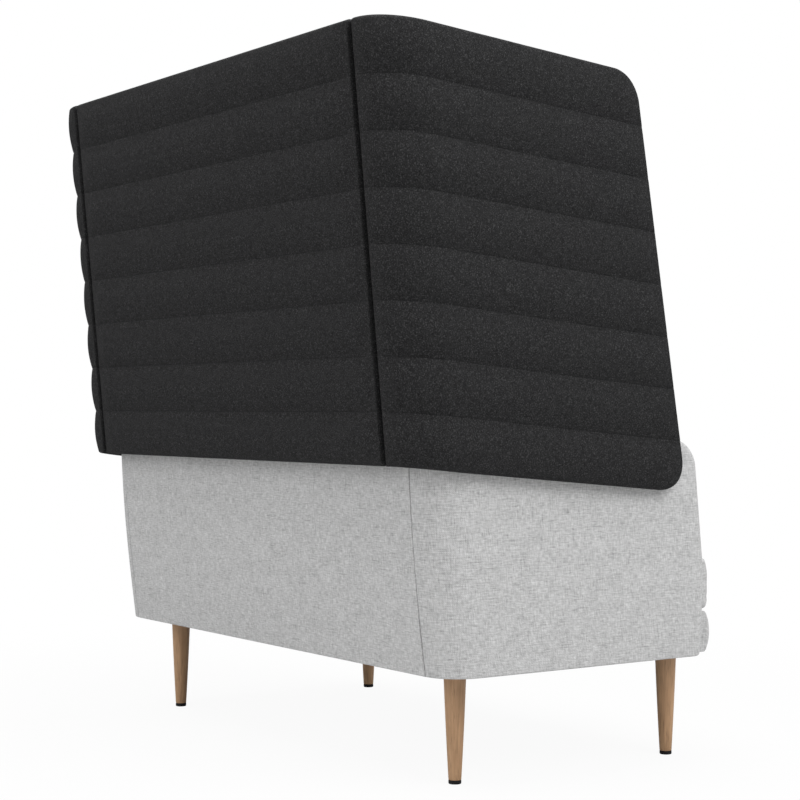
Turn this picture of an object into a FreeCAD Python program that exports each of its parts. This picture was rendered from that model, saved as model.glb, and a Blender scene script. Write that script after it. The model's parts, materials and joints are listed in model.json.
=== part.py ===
import FreeCAD, Part
import os
import re

import Sketcher

# Driving sizes: name, value in millimetres (or degrees, or a count), meaning.
SIZES = (
    ("overall_depth", "840", "front of the seat to the back of the screen"),
    ("ride_height", "210", "floor to the underside of the tub"),
    ("shell_top", "640", "floor to the top of the arms"),
    ("shell_width", "1296", "tub, over its sides"),
    ("shell_wall", "45", "thickness of the tub's padded walls"),
    ("shell_corner", "71", "rounding of the tub's rear corners"),
    ("shell_back_taper", "38", "how far the back draws in at the foot"),
    ("shell_bow", "560", "height above the underside where the curved back would stand upright"),
    ("shell_edge", "20", "rounding of the arms' front and top edges"),
    ("seam_lap", "2", "rear corner's rounding to the sewn seam on the tub's back"),
    ("arm_setback", "78", "seat front to the arm's front, at the top"),
    ("arm_lean", "48", "how far the arm's front edge runs forward at the foot"),
    ("arm_nose", "55", "rounding of the arm's upper front corner"),
    ("frame_board", "15", "plywood inside the tub's walls"),
    ("board_drop", "40", "top of the tub down to the top of its boards"),
    ("board_front", "62", "arm's front to the front of its board"),
    ("board_rear", "15", "rear corner's rounding to the rear of the side board"),
    ("back_overhang", "50", "foot of the back screen beyond the tub's back"),
    ("seat_clearance", "0.3", "room between pieces that seat on each other"),
    ("rail_height", "70", "seat frame rails"),
    ("rail_thickness", "25", "seat frame rails"),
    ("centre_drop", "10", "centre rail below the other rails"),
    ("block_length", "90", "corner block along each rail"),
    ("block_height", "55", "corner block"),
    ("strap_width", "60", "seat webbing"),
    ("strap_thickness", "2", "seat webbing"),
    ("strap_pitch", "140", "between front to back straps"),
    ("strap_inset", "5", "strap ends from the rails' outer faces"),
    ("cross_pitch", "160", "between side to side straps"),
    ("cross_rear", "120", "rear rail to the nearest side to side strap"),
    ("cloth_thickness", "1.2", "deck cloth and dust cover"),
    ("cover_margin", "4", "dust cover clear of the leg plates"),
    ("leg_top_dia", "43", "leg at the tub"),
    ("leg_foot_dia", "24", "leg at its foot"),
    ("leg_recess", "2", "leg top above the tub's lower edge"),
    ("leg_side_inset", "108", "tub's side to the leg's axis"),
    ("leg_front_inset", "62", "seat front to the front leg's axis"),
    ("leg_rear_inset", "91", "tub's back at the foot to the rear leg's axis"),
    ("plate_side", "70", "square leg plate"),
    ("plate_thickness", "3", "leg plate"),
    ("stud_dia", "10", "stud between leg and corner block"),
    ("stud_depth", "32", "stud's hole in the leg"),
    ("stud_reach", "30", "stud above the leg plate"),
    ("stud_clearance", "0.1", "room around the stud"),
    ("glide_dia", "24", "glide under the leg"),
    ("glide_height", "7", "glide below the leg"),
    ("stem_dia", "8", "threaded stem of the glide"),
    ("stem_length", "22", "threaded stem of the glide"),
    ("stem_clearance", "0.05", "room around the stem"),
    ("stem_spare", "4", "bore above the stem"),
    ("front_pad_depth", "25", "padding in front of the front rail"),
    ("front_pad_height", "78", "padding in front of the front rail"),
    ("front_pad_crown", "10", "swell of that padding"),
    ("cushion_setback", "5", "seat cushion's front behind the rail padding's front"),
    ("backrest_gap", "5.65", "seat cushion's rear to the foot of the back cushion"),
    ("cushion_height", "131", "seat cushion at its crown"),
    ("cushion_crown", "18", "rise of the seat cushion's top"),
    ("cushion_swell", "10", "swell of the seat cushion's front"),
    ("cushion_side", "4", "swell of the cushions' sides"),
    ("cushion_edge", "15", "rounding of the cushions' edges"),
    ("cushion_corner", "26", "rounding of the seat cushion in plan"),
    ("cushion_gap", "1", "between the two seats' cushions"),
    ("backrest_depth", "102", "back cushion at its crown"),
    ("backrest_height", "362", "back cushion"),
    ("backrest_crown", "12", "swell of the back cushion's front"),
    ("backrest_corner", "40", "rounding of the back cushion in plan"),
    ("channel_pitch", "99", "height of one sewn channel of the screens"),
    ("channel_count", "8", "channels in a screen"),
    ("channel_crown", "6", "swell of a channel, outside"),
    ("lining_crown", "5", "swell of a channel, inside"),
    ("channel_slope", "5.15", "fall of the side channels towards the front, degrees"),
    ("screen_rake", "5.43", "lean of the back screen, degrees"),
    ("screen_foot", "587", "floor to the foot of the back screen"),
    ("screen_overhang", "28", "side screen's sewn lines beyond the tub's side"),
    ("screen_corner", "99", "rounding of the rear corners at the sewn lines"),
    ("corner_lap", "5", "corner's rounding to where a side screen runs straight"),
    ("screen_gap", "10", "upright recess between back and side screens"),
    ("screen_foot_length", "627", "side screen along its foot, from the back"),
    ("screen_top_length", "569", "side screen along its top, from the back"),
    ("screen_top_nose", "55", "side screen's upper front corner"),
    ("screen_foot_nose", "45", "side screen's lower front corner"),
    ("pad_thickness", "12", "screen padding at the sewn lines, outside"),
    ("lining_thickness", "12", "screen padding at the sewn lines, inside"),
    ("screen_board", "10", "board inside a screen"),
    ("pad_rim", "8", "padding round the edges of a screen's board"),
    ("lining_inset", "4", "lining's front edge behind the padding's"),
    ("lining_lift", "4", "lining above the arms"),
    ("post_recess", "8", "joint post below the sewn lines"),
    ("spacer_length", "900", "spacer between the tub's back and the screen"),
    ("spacer_lift", "6", "spacer and plates above the board's lower edge"),
    ("fixing_width", "70", "fixing plate between tub and side screen"),
    ("fixing_height", "40", "fixing plate between tub and side screen"),
    ("fixing_rear", "253", "screen's back to the rear fixing plate"),
    ("fixing_pitch", "220", "between the two fixing plates of a side"),
)
CORNER_ANGLES = range(0, 91, 15)
STRAP_COUNT = 8
CROSS_COUNT = 3
QUARTER = "(1 - sqrt(0.5))"

doc = FreeCAD.newDocument("high_back_sofa")
sheet = doc.addObject("Spreadsheet::Sheet", "Sizes")
for row, (alias, value, meaning) in enumerate(SIZES, start=1):
    sheet.set(f"A{row}", meaning)
    sheet.set(f"B{row}", value)
    sheet.setAlias(f"B{row}", alias)
doc.recompute()
nodes = []


# Expressions name sizes without the sheet; every size has an underscore in its name.
def sized(text):
    return re.sub(r"\b[a-z]+(?:_[a-z]+)+\b", r"Sizes.\g<0>", text)


def number(text):
    return float(sheet.evalExpression(sized(text)))


def bind(item, **expressions):
    for path, text in expressions.items():
        item.setExpression(path.replace("__", "."), sized(text))


def node(item, label):
    item.Label = label
    nodes.append(item)
    return item


CHANNELS = int(number("channel_count"))

# Places shared by several pieces, as expressions.
FRONT = "(-overall_depth / 2)"
SCREEN_HEIGHT = "(channel_pitch * channel_count)"
CHANNEL_RADIUS = "(channel_pitch ^ 2 / (8 * channel_crown) + channel_crown / 2)"
SCREEN_REACH = (
    f"({CHANNEL_RADIUS} * (1 - cos(screen_rake)) + channel_crown * cos(screen_rake)"
    f" + ({SCREEN_HEIGHT} - channel_pitch / 2) * sin(screen_rake))"
)
SCREEN_Y = f"(overall_depth / 2 - {SCREEN_REACH})"
SCREEN_DEPTH = "(pad_thickness + screen_board)"
FALL_ANGLE = "(screen_rake + channel_slope)"
SCREEN_FALL = f"tan({FALL_ANGLE})"
SCREEN_X = "(shell_width / 2 + screen_overhang)"
CORNER_X = f"({SCREEN_X} - screen_corner)"
BACK_SCREEN_X = f"({CORNER_X} - screen_gap)"
SHELL_BACK = f"({SCREEN_Y} - back_overhang)"
SHELL_HEIGHT = "(shell_top - ride_height)"
SHELL_LEAN = f"atan(shell_back_taper / {SHELL_HEIGHT})"
INNER_X = "(shell_width / 2 - shell_wall - seat_clearance)"
SEAM_X = "(shell_width / 2 - shell_corner - seam_lap)"
LEG_FOOT = "(glide_height + seat_clearance)"
LEG_TOP = "(ride_height + leg_recess)"
FRAME_FOOT = f"({LEG_TOP} + plate_thickness)"
FRAME_TOP = f"({FRAME_FOOT} + rail_height)"
DECK_TOP = f"({FRAME_TOP} + 2 * strap_thickness + seat_clearance + cloth_thickness)"
CUSHION_FOOT = f"({DECK_TOP} + seat_clearance)"
CUSHION_RISE = f"({CUSHION_FOOT} - ride_height)"
RAIL_FRONT = f"({FRONT} + front_pad_depth + seat_clearance)"
RAIL_REAR = f"({SHELL_BACK} - shell_back_taper - shell_wall - seat_clearance)"
BACKREST_Y = f"({RAIL_REAR} + {CUSHION_RISE} * shell_back_taper / {SHELL_HEIGHT})"
CORNER_START = f"({SHELL_BACK} - shell_back_taper - shell_corner - seat_clearance)"
LEG_X = "(shell_width / 2 - leg_side_inset)"
LEG_Y = {
    "front": f"({FRONT} + leg_front_inset)",
    "rear": f"({SHELL_BACK} - shell_back_taper - leg_rear_inset)",
}


def bow(level):
    full = f"(shell_bow - {SHELL_HEIGHT})"
    return f"(((shell_bow + ride_height - ({level})) ^ 2 - {full} ^ 2) / (shell_bow ^ 2 - {full} ^ 2))"


def back_face(level):
    return f"({SHELL_BACK} - shell_back_taper * {bow(level)})"


def arm_front(level):
    return f"({FRONT} + arm_setback - arm_lean * (shell_top - ({level})) / {SHELL_HEIGHT})"


def new_body(name):
    return doc.addObject("PartDesign::Body", name)


def add_loop(sketch, points):
    """Closed outline of (x, y) or (x, y, rise): with a rise, an arc to the left of the way to the next."""
    spots = [FreeCAD.Vector(number(p[0]), number(p[1]), 0) for p in points]
    first = sketch.GeometryCount
    ends = []
    for index, point in enumerate(points):
        start, stop = spots[index], spots[(index + 1) % len(spots)]
        rise = number(point[2]) if len(point) > 2 else 0
        if rise:
            way = stop - start
            left = FreeCAD.Vector(-way.y, way.x, 0).normalize()
            crest = (start + stop) * 0.5 + left * rise
            geo = sketch.addGeometry(Part.Arc(start, crest, stop))
            forward = sketch.getPoint(geo, 1).isEqual(start, 1e-4)
        else:
            geo = sketch.addGeometry(Part.LineSegment(start, stop))
            forward = True
        ends.append((1, 2) if forward else (2, 1))
    count = len(points)
    for index, point in enumerate(points):
        geo, after = first + index, first + (index + 1) % count
        begin, finish = ends[index]
        joined = ends[(index + 1) % count][0]
        sketch.addConstraint(Sketcher.Constraint("Coincident", geo, finish, after, joined))
        for kind, text, spot in zip(("DistanceX", "DistanceY"), point, spots[index]):
            held = sketch.addConstraint(Sketcher.Constraint(kind, -1, 1, geo, begin, spot))
            sketch.setExpression(f"Constraints[{held}]", sized(text))
        if len(point) > 2 and number(point[2]):
            following = points[(index + 1) % count]
            chord = f"((({following[0]}) - ({point[0]})) ^ 2 + (({following[1]}) - ({point[1]})) ^ 2)"
            radius = f"abs({chord} / (8 * ({point[2]})) + ({point[2]}) / 2)"
            held = sketch.addConstraint(Sketcher.Constraint("Radius", geo, number(radius)))
            sketch.setExpression(f"Constraints[{held}]", sized(radius))


def add_circle(sketch, x, y, radius):
    middle = FreeCAD.Vector(number(x), number(y), 0)
    geo = sketch.addGeometry(Part.Circle(middle, FreeCAD.Vector(0, 0, 1), number(radius)))
    for kind, text in (("DistanceX", x), ("DistanceY", y)):
        held = sketch.addConstraint(Sketcher.Constraint(kind, -1, 1, geo, 3, number(text)))
        sketch.setExpression(f"Constraints[{held}]", sized(text))
    held = sketch.addConstraint(Sketcher.Constraint("Radius", geo, number(radius)))
    sketch.setExpression(f"Constraints[{held}]", sized(radius))


def new_sketch(body, plane, points, offset=("0", "0", "0"), turn=FreeCAD.Rotation()):
    sketch = body.newObject("Sketcher::SketchObject", f"{body.Name}_outline")
    support = next(item for item in body.Origin.OriginFeatures if item.Role == f"{plane}_Plane")
    sketch.AttachmentSupport = [(support, "")]
    sketch.MapMode = "FlatFace"
    sketch.AttachmentOffset = FreeCAD.Placement(FreeCAD.Vector(), turn)
    for axis, text in zip("xyz", offset):
        sketch.setExpression(f"AttachmentOffset.Base.{axis}", sized(text))
    add_loop(sketch, points)
    return sketch


def pad(body, sketch, length):
    feature = body.newObject("PartDesign::Pad", f"{body.Name}_pad")
    feature.Profile = sketch
    bind(feature, Length=length)
    return feature


def prism(name, plane, points, start, stop):
    """Outline pushed from start to stop along its plane's normal: +Z for XY, +X for YZ, -Y for XZ."""
    body = new_body(name)
    pad(body, new_sketch(body, plane, points, ("0", "0", start)), f"({stop}) - ({start})")
    return body


def turned(name, points):
    """Outline of radius and height, turned about the upright axis."""
    body = new_body(name)
    feature = body.newObject("PartDesign::Revolution", f"{name}_turned")
    sketch = new_sketch(body, "XZ", points)
    feature.Profile = sketch
    feature.ReferenceAxis = (sketch, ["V_Axis"])
    feature.Angle = 360
    body.Tip = feature
    return body


def on_plane(edge, axis, text):
    span = edge.BoundBox
    value = number(text)
    return all(abs(getattr(span, axis + end) - value) < 0.5 for end in ("Min", "Max"))


def round_edges(body, radius, chosen):
    doc.recompute()
    base = body.Tip
    names = [f"Edge{i}" for i, edge in enumerate(base.Shape.Edges, start=1) if chosen(edge)]
    feature = body.newObject("PartDesign::Fillet", f"{body.Name}_round")
    feature.Base = (base, names)
    bind(feature, Radius=radius)


def box(name, low, high):
    block = doc.addObject("Part::Box", name)
    sizes = [f"({b}) - ({a})" for a, b in zip(low, high)]
    bind(block, Length=sizes[0], Width=sizes[1], Height=sizes[2])
    bind(block, Placement__Base__x=low[0], Placement__Base__y=low[1], Placement__Base__z=low[2])
    return block


def cut(name, base, tool):
    result = doc.addObject("Part::Cut", name)
    result.Base = base
    result.Tool = tool
    return result


def group(name, items):
    result = doc.addObject("Part::Compound", name)
    result.Links = items
    return result


def mirrored(name, source):
    result = doc.addObject("Part::Mirroring", name)
    result.Source = source
    result.Normal = FreeCAD.Vector(1, 0, 0)
    return result


def both_sides(label, left):
    node(left, f"{label}_left")
    node(mirrored(f"{label}_right", left), f"{label}_right")


def place(body, x, y):
    bind(body, Placement__Base__x=x, Placement__Base__y=y)
    return body


def lean(body, y, z, angle):
    """Stand a body at y, z with its top tipped towards the back."""
    turn = FreeCAD.Rotation(FreeCAD.Vector(-1, 0, 0), number(angle))
    body.Placement = FreeCAD.Placement(FreeCAD.Vector(), turn)
    bind(body, Placement__Base__y=y, Placement__Base__z=z, Placement__Rotation__Angle=angle)
    return body


def rectangle(x0, y0, x1, y1):
    return [(x0, y0), (x0, y1), (x1, y1), (x1, y0)]


# Timber seat frame.
def seat_frame():
    inner_front = f"({RAIL_FRONT} + rail_thickness)"
    inner_rear = f"({RAIL_REAR} - rail_thickness)"
    side_inner = f"({INNER_X} - rail_thickness)"
    rear_half = "(shell_width / 2 - shell_corner - seat_clearance)"
    centre_half = "(rail_thickness / 2)"
    centre_top = f"({FRAME_TOP} - centre_drop)"
    rails = (
        ("front_rail", INNER_X, RAIL_FRONT, inner_front, FRAME_TOP),
        ("rear_rail", rear_half, inner_rear, RAIL_REAR, FRAME_TOP),
        ("centre_rail", centre_half, inner_front, inner_rear, centre_top),
    )
    for label, half, front, rear, top in rails:
        node(box(label, (f"-{half}", front, FRAME_FOOT), (half, rear, top)), label)
    side_rail = box("side_rail", (side_inner, inner_front, FRAME_FOOT), (INNER_X, CORNER_START, FRAME_TOP))
    both_sides("side_rail", side_rail)
    for end, y, way in (("front", inner_front, "1"), ("rear", inner_rear, "-1")):
        outline = [
            (side_inner, y),
            (f"{side_inner} - block_length", y),
            (f"{side_inner} - block_length", f"{y} + {way} * block_length / 2"),
            (f"{side_inner} - block_length / 2", f"{y} + {way} * block_length"),
            (side_inner, f"{y} + {way} * block_length"),
        ]
        body = new_body(f"corner_block_{end}")
        sketch = new_sketch(body, "XY", outline, ("0", "0", FRAME_FOOT))
        add_circle(sketch, LEG_X, LEG_Y[end], "stud_dia / 2 + stud_clearance")
        pad(body, sketch, "block_height")
        both_sides(f"corner_block_{end}", body)


# Seat webbing, deck cloth and dust cover.
def seat_deck():
    strap_top = f"({FRAME_TOP} + strap_thickness)"
    straps = []
    for index in range(STRAP_COUNT):
        middle = f"({index} - ({STRAP_COUNT} - 1) / 2) * strap_pitch"
        low = (f"{middle} - strap_width / 2", f"{RAIL_FRONT} + strap_inset", FRAME_TOP)
        high = (f"{middle} + strap_width / 2", f"{RAIL_REAR} - strap_inset", strap_top)
        straps.append(box("strap", low, high))
    node(group("webbing_lengthwise", straps), "webbing_lengthwise")
    straps = []
    for index in range(CROSS_COUNT):
        middle = f"{RAIL_REAR} - cross_rear - {index} * cross_pitch"
        low = (f"strap_inset - {INNER_X}", f"{middle} - strap_width / 2", strap_top)
        high = (f"{INNER_X} - strap_inset", f"{middle} + strap_width / 2", f"{strap_top} + strap_thickness")
        straps.append(box("cross_strap", low, high))
    node(group("webbing_crosswise", straps), "webbing_crosswise")
    low = (f"-{INNER_X}", RAIL_FRONT, f"{DECK_TOP} - cloth_thickness")
    node(box("deck_cloth", low, (INNER_X, CORNER_START, DECK_TOP)), "deck_cloth")
    room = "(plate_side / 2 + cover_margin)"
    notch_x = f"({LEG_X} - {room})"
    notch_front = f"({LEG_Y['front']} + {room})"
    notch_rear = f"({LEG_Y['rear']} - {room})"
    outline = [
        (f"-{INNER_X}", notch_front),
        (f"-{INNER_X}", notch_rear),
        (f"-{notch_x}", notch_rear),
        (f"-{notch_x}", RAIL_REAR),
        (notch_x, RAIL_REAR),
        (notch_x, notch_rear),
        (INNER_X, notch_rear),
        (INNER_X, notch_front),
        (notch_x, notch_front),
        (notch_x, RAIL_FRONT),
        (f"-{notch_x}", RAIL_FRONT),
        (f"-{notch_x}", notch_front),
    ]
    top = f"({FRAME_FOOT} - seat_clearance)"
    node(prism("dust_cover", "XY", outline, f"{top} - cloth_thickness", top), "dust_cover")


# Legs with their plates, studs and levelling glides.
def leg_outline():
    stem_bore = "(stem_dia / 2 + stem_clearance)"
    stud_hole = "(stud_dia / 2 + stud_clearance)"
    bore_top = f"({LEG_FOOT} + stem_length + stem_spare)"
    return [
        (stem_bore, LEG_FOOT),
        ("leg_foot_dia / 2", LEG_FOOT),
        ("leg_top_dia / 2", LEG_TOP),
        (stud_hole, LEG_TOP),
        (stud_hole, f"{LEG_TOP} - stud_depth"),
        ("0", f"{LEG_TOP} - stud_depth"),
        ("0", bore_top),
        (stem_bore, bore_top),
    ]


def glide_outline():
    return [
        ("0", "0"),
        ("glide_dia / 2", "0"),
        ("glide_dia / 2", "glide_height"),
        ("stem_dia / 2", "glide_height"),
        ("stem_dia / 2", "glide_height + stem_length"),
        ("0", "glide_height + stem_length"),
    ]


def leg_plate(end):
    body = new_body(f"leg_plate_{end}")
    reach = "(plate_side / 2)"
    sketch = new_sketch(body, "XY", rectangle(f"-{reach}", f"-{reach}", reach, reach), ("0", "0", LEG_TOP))
    add_circle(sketch, "0", "0", "stud_dia / 2 + stud_clearance")
    pad(body, sketch, "plate_thickness")
    return body


def leg_stud(end):
    foot = f"({LEG_TOP} - stud_depth + seat_clearance)"
    stud = doc.addObject("Part::Cylinder", f"stud_{end}")
    bind(stud, Radius="stud_dia / 2", Height=f"{FRAME_FOOT} + stud_reach - {foot}", Placement__Base__z=foot)
    return stud


def legs():
    sets = {"legs": [], "leg_plates": [], "leg_studs": []}
    for end, y in LEG_Y.items():
        both_sides(f"glide_{end}", place(turned(f"glide_{end}", glide_outline()), LEG_X, y))
        pieces = (turned(f"leg_{end}", leg_outline()), leg_plate(end), leg_stud(end))
        for items, piece in zip(sets.values(), pieces):
            place(piece, LEG_X, y)
            items += [piece, mirrored(f"{piece.Name}_right", piece)]
    for label, items in sets.items():
        node(group(label, items), label)


# Padded walls of the tub, each round its plywood board.
def bowed(low, high, inset):
    """Foot, top and rise of an arc that follows the tub's back, moved in by inset."""
    foot, top = back_face(low), back_face(high)
    middle = back_face(f"({low} + {high}) / 2")
    return f"({foot} - {inset})", f"({top} - {inset})", f"({middle} - ({foot} + {top}) / 2)"


def side_shell():
    outside = "(shell_width / 2)"
    inside = f"({outside} - shell_wall)"
    foot, top, swell = bowed("ride_height", "shell_top", "0")
    outline = [
        (foot, "ride_height", f"-{swell}"),
        (top, "shell_top"),
        (arm_front("shell_top"), "shell_top"),
        (arm_front("ride_height"), "ride_height"),
    ]
    body = prism("side_shell_padding", "YZ", outline, SEAM_X, outside)

    def rear_edge(edge, face):
        return on_plane(edge, "X", face) and edge.BoundBox.YMin > 0 and edge.BoundBox.ZLength > 1

    round_edges(body, "shell_corner", lambda edge: rear_edge(edge, outside))
    low, high = "(ride_height - shell_wall)", "(shell_top + shell_wall)"
    foot, top, swell = bowed(low, high, "shell_wall")
    ahead = f"({FRONT} - shell_wall)"
    outline = [(foot, low, f"-{swell}"), (top, high), (ahead, high), (ahead, low)]
    hollow = body.newObject("PartDesign::Pocket", "side_shell_hollow")
    hollow.Profile = new_sketch(body, "YZ", outline, ("0", "0", inside))
    bind(hollow, Length=f"{inside} - {SEAM_X} + shell_wall")
    round_edges(body, "shell_corner - shell_wall", lambda edge: rear_edge(edge, inside))
    round_edges(
        body,
        "arm_nose",
        lambda edge: on_plane(edge, "Y", arm_front("shell_top")) and on_plane(edge, "Z", "shell_top"),
    )

    def front_edge(edge):
        span = edge.BoundBox
        return span.XLength < 0.5 and span.YMax < number(arm_front("shell_top")) and span.ZLength > 1

    round_edges(body, "shell_edge", front_edge)
    middle = f"({outside} - shell_wall / 2)"
    low = (f"{middle} - frame_board / 2", f"{arm_front('shell_top')} + board_front", "ride_height")
    high = (f"{middle} + frame_board / 2", f"{CORNER_START} - board_rear", "shell_top - board_drop")
    board = box("side_board", low, high)
    both_sides("side_board", board)
    both_sides("side_shell", cut("side_shell", body, board))


def back_shell():
    foot, top, swell = bowed("ride_height", "shell_top", "0")
    outline = [
        (foot, "ride_height", f"-{swell}"),
        (top, "shell_top"),
        (f"{top} - shell_wall", "shell_top", swell),
        (f"{foot} - shell_wall", "ride_height"),
    ]
    body = prism("back_shell_padding", "YZ", outline, f"-{SEAM_X}", SEAM_X)
    round_edges(
        body,
        "shell_edge",
        lambda edge: edge.BoundBox.XLength > 1 and on_plane(edge, "Z", "shell_top"),
    )
    board_top = "(shell_top - board_drop)"
    front = f"({foot} - (shell_wall + frame_board) / 2)"
    front_top = f"({back_face(board_top)} - (shell_wall + frame_board) / 2)"
    board_outline = [
        (front, "ride_height"),
        (front_top, board_top),
        (f"{front_top} + frame_board", board_top),
        (f"{front} + frame_board", "ride_height"),
    ]
    half = f"({SEAM_X} - frame_board)"
    board = prism("back_board", "YZ", board_outline, f"-{half}", half)
    node(board, "back_board")
    node(cut("back_shell", body, board), "back_shell")


# Soft pieces of the seat.
def soft_outline(low, high, corner, left="0", top="0", right="0", bottom="0"):
    """Rounded outline inside the box low to high, whose four sides swell by the given rises."""
    x0, x1 = f"({low[0]} + {left})", f"({high[0]} - {right})"
    y0, y1 = f"({low[1]} + {bottom})", f"({high[1]} - {top})"
    turn = f"{QUARTER} * {corner}"
    return [
        (x0, f"{y0} + {corner}", left),
        (x0, f"{y1} - {corner}", turn),
        (f"{x0} + {corner}", y1, top),
        (f"{x1} - {corner}", y1, turn),
        (x1, f"{y1} - {corner}", right),
        (x1, f"{y0} + {corner}", turn),
        (f"{x1} - {corner}", y0, bottom),
        (f"{x0} + {corner}", y0, turn),
    ]


def cushion(name, low, high, side_view, front_view, plan):
    """Common part of three rounded outlines, each seen along one axis and pushed past the other two."""
    ends = [(f"{a} - cushion_edge", f"{b} + cushion_edge") for a, b in zip(low, high)]
    bodies = [
        prism(f"{name}_side", "YZ", side_view, *ends[0]),
        prism(f"{name}_front", "XZ", front_view, f"-({ends[1][1]})", f"-({ends[1][0]})"),
        prism(f"{name}_plan", "XY", plan, *ends[2]),
    ]
    result = doc.addObject("Part::MultiCommon", name)
    result.Shapes = bodies
    return result, bodies


def seat_cushions():
    low = ("cushion_gap / 2", f"({FRONT} + cushion_setback)", CUSHION_FOOT)
    rear = f"({BACKREST_Y} - backrest_depth + backrest_crown - backrest_gap)"
    high = (INNER_X, rear, f"({CUSHION_FOOT} + cushion_height)")
    side_view = soft_outline(
        low[1:], high[1:], "cushion_edge", left="cushion_swell", top="cushion_crown", right="cushion_side"
    )
    front_view = soft_outline(
        (low[0], low[2]), (high[0], high[2]), "cushion_edge",
        left="cushion_side", top="cushion_crown", right="cushion_side",
    )
    plan = soft_outline(
        low[:2], high[:2], "cushion_corner",
        left="cushion_side", top="cushion_side", right="cushion_side", bottom="cushion_swell",
    )
    both_sides("seat_cushion", cushion("seat_cushion", low, high, side_view, front_view, plan)[0])


def back_cushions():
    low = ("cushion_gap / 2", "(-backrest_depth)", "0")
    high = (INNER_X, "0", "backrest_height")
    side_view = soft_outline(low[1:], high[1:], "cushion_edge", left="backrest_crown", top="cushion_side")
    front_view = soft_outline(
        (low[0], low[2]), (high[0], high[2]), "cushion_edge",
        left="cushion_side", top="cushion_crown", right="cushion_side",
    )
    plan = soft_outline(
        low[:2], high[:2], "backrest_corner",
        left="cushion_side", right="cushion_side", bottom="backrest_crown",
    )
    result, bodies = cushion("back_cushion", low, high, side_view, front_view, plan)
    for body in bodies:
        lean(body, BACKREST_Y, CUSHION_FOOT, SHELL_LEAN)
    both_sides("back_cushion", result)


def front_pad():
    top = "ride_height + front_pad_height"
    outline = [
        (f"{FRONT} + front_pad_depth", "ride_height"),
        (f"{FRONT} + front_pad_crown", "ride_height", "front_pad_crown"),
        (f"{FRONT} + front_pad_crown", top),
        (f"{FRONT} + front_pad_depth", top),
    ]
    node(prism("front_rail_pad", "YZ", outline, f"-{INNER_X}", INNER_X), "front_rail_pad")


# Screens, drawn upright and then tipped back: y is 0 at the back's sewn lines, z is 0 at its foot.
def tip_back(body):
    return lean(body, SCREEN_Y, "screen_foot", "screen_rake")


def padding_section(face, pitch="channel_pitch"):
    """Outer layer of a screen, one arc to a channel, with the room for the board still filled."""
    rows = [(face, f"{row} * {pitch}", "-channel_crown") for row in range(CHANNELS)]
    top = f"{CHANNELS} * {pitch}"
    inner = f"{face} - {SCREEN_DEPTH}"
    return rows + [(face, top), (inner, top), (inner, "0")]


def lining_section(face, pitch="channel_pitch"):
    """Inner layer of a screen, one arc to a channel."""
    seat = f"({face} - {SCREEN_DEPTH} - seat_clearance)"
    surface = f"({seat} - lining_thickness)"
    top = f"{CHANNELS} * {pitch}"
    rows = [(surface, f"{row} * {pitch}", "lining_crown") for row in range(CHANNELS)]
    return [(seat, top), (seat, "0")] + rows + [(surface, top)]


def cut_away(body, outline):
    """Cut an outline of the side view right through a body."""
    feature = body.newObject("PartDesign::Pocket", f"{body.Name}_trim")
    feature.Profile = new_sketch(body, "YZ", outline)
    feature.Type = "ThroughAll"
    feature.Midplane = True


def cut_foot(body):
    """End a lining level, just above the arms."""
    lift = "(shell_top + lining_lift - screen_foot)"
    behind, ahead = "screen_corner", "(-2 * screen_foot_length)"
    deep = f"(-{SCREEN_FALL} * screen_foot_length - screen_corner)"
    levels = [(y, f"(({lift} + {y} * sin(screen_rake)) / cos(screen_rake))") for y in (behind, ahead)]
    cut_away(body, levels + [(ahead, deep), (behind, deep)])


def back_screen():
    half = BACK_SCREEN_X
    outline = rectangle(f"-{SCREEN_DEPTH}", "pad_rim", "-pad_thickness", f"{SCREEN_HEIGHT} - pad_rim")
    board = tip_back(prism("back_screen_board", "YZ", outline, f"pad_rim - {half}", f"{half} - pad_rim"))
    node(board, "back_screen_board")
    padding = tip_back(prism("back_screen_padding", "YZ", padding_section("0"), f"-{half}", half))
    node(cut("back_screen_pad", padding, board), "back_screen_pad")
    lining = tip_back(prism("back_screen_lining", "YZ", lining_section("0"), f"-{half}", half))
    cut_foot(lining)
    node(lining, "back_screen_lining")


def wrap(name, section):
    """Layer of a side screen: round the rear corner, then square to the channels to beyond its front."""
    body = new_body(name)
    sections = []
    for angle in CORNER_ANGLES:
        fall = f"-{SCREEN_FALL} * screen_corner * (1 - cos({angle}))"
        turn = FreeCAD.Rotation(FreeCAD.Vector(0, 1, 0), 90 - angle)
        offset = (CORNER_X, fall, "screen_corner")
        sections.append(new_sketch(body, "XZ", section("screen_corner"), offset, turn))
    start = "(screen_corner + corner_lap)"
    offset = (CORNER_X, f"-{SCREEN_FALL} * {start}", start)
    turn = FreeCAD.Rotation(FreeCAD.Vector(1, 0, 0), number(FALL_ANGLE))
    square = section("screen_corner", f"(channel_pitch * cos({FALL_ANGLE}))")
    sections.append(new_sketch(body, "XZ", square, offset, turn))
    corner = body.newObject("PartDesign::AdditiveLoft", f"{name}_corner")
    corner.Profile = sections[0]
    corner.Sections = sections[1:]
    corner.Ruled = True
    pad(body, sections[-1], "screen_foot_length")
    return body


def front_corner(end, inset):
    """Lower or upper front corner of a side screen's outline, moved in by inset along the fall."""
    y = f"({inset} - screen_{end}_length)"
    base = "0" if end == "foot" else SCREEN_HEIGHT
    return y, f"({base} + {SCREEN_FALL} * {y})"


def round_corner(body, spot, radius):
    """Round the edge that runs along X through a spot of the side view."""
    round_edges(body, radius, lambda edge: on_plane(edge, "Y", spot[0]) and on_plane(edge, "Z", spot[1]))


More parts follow.
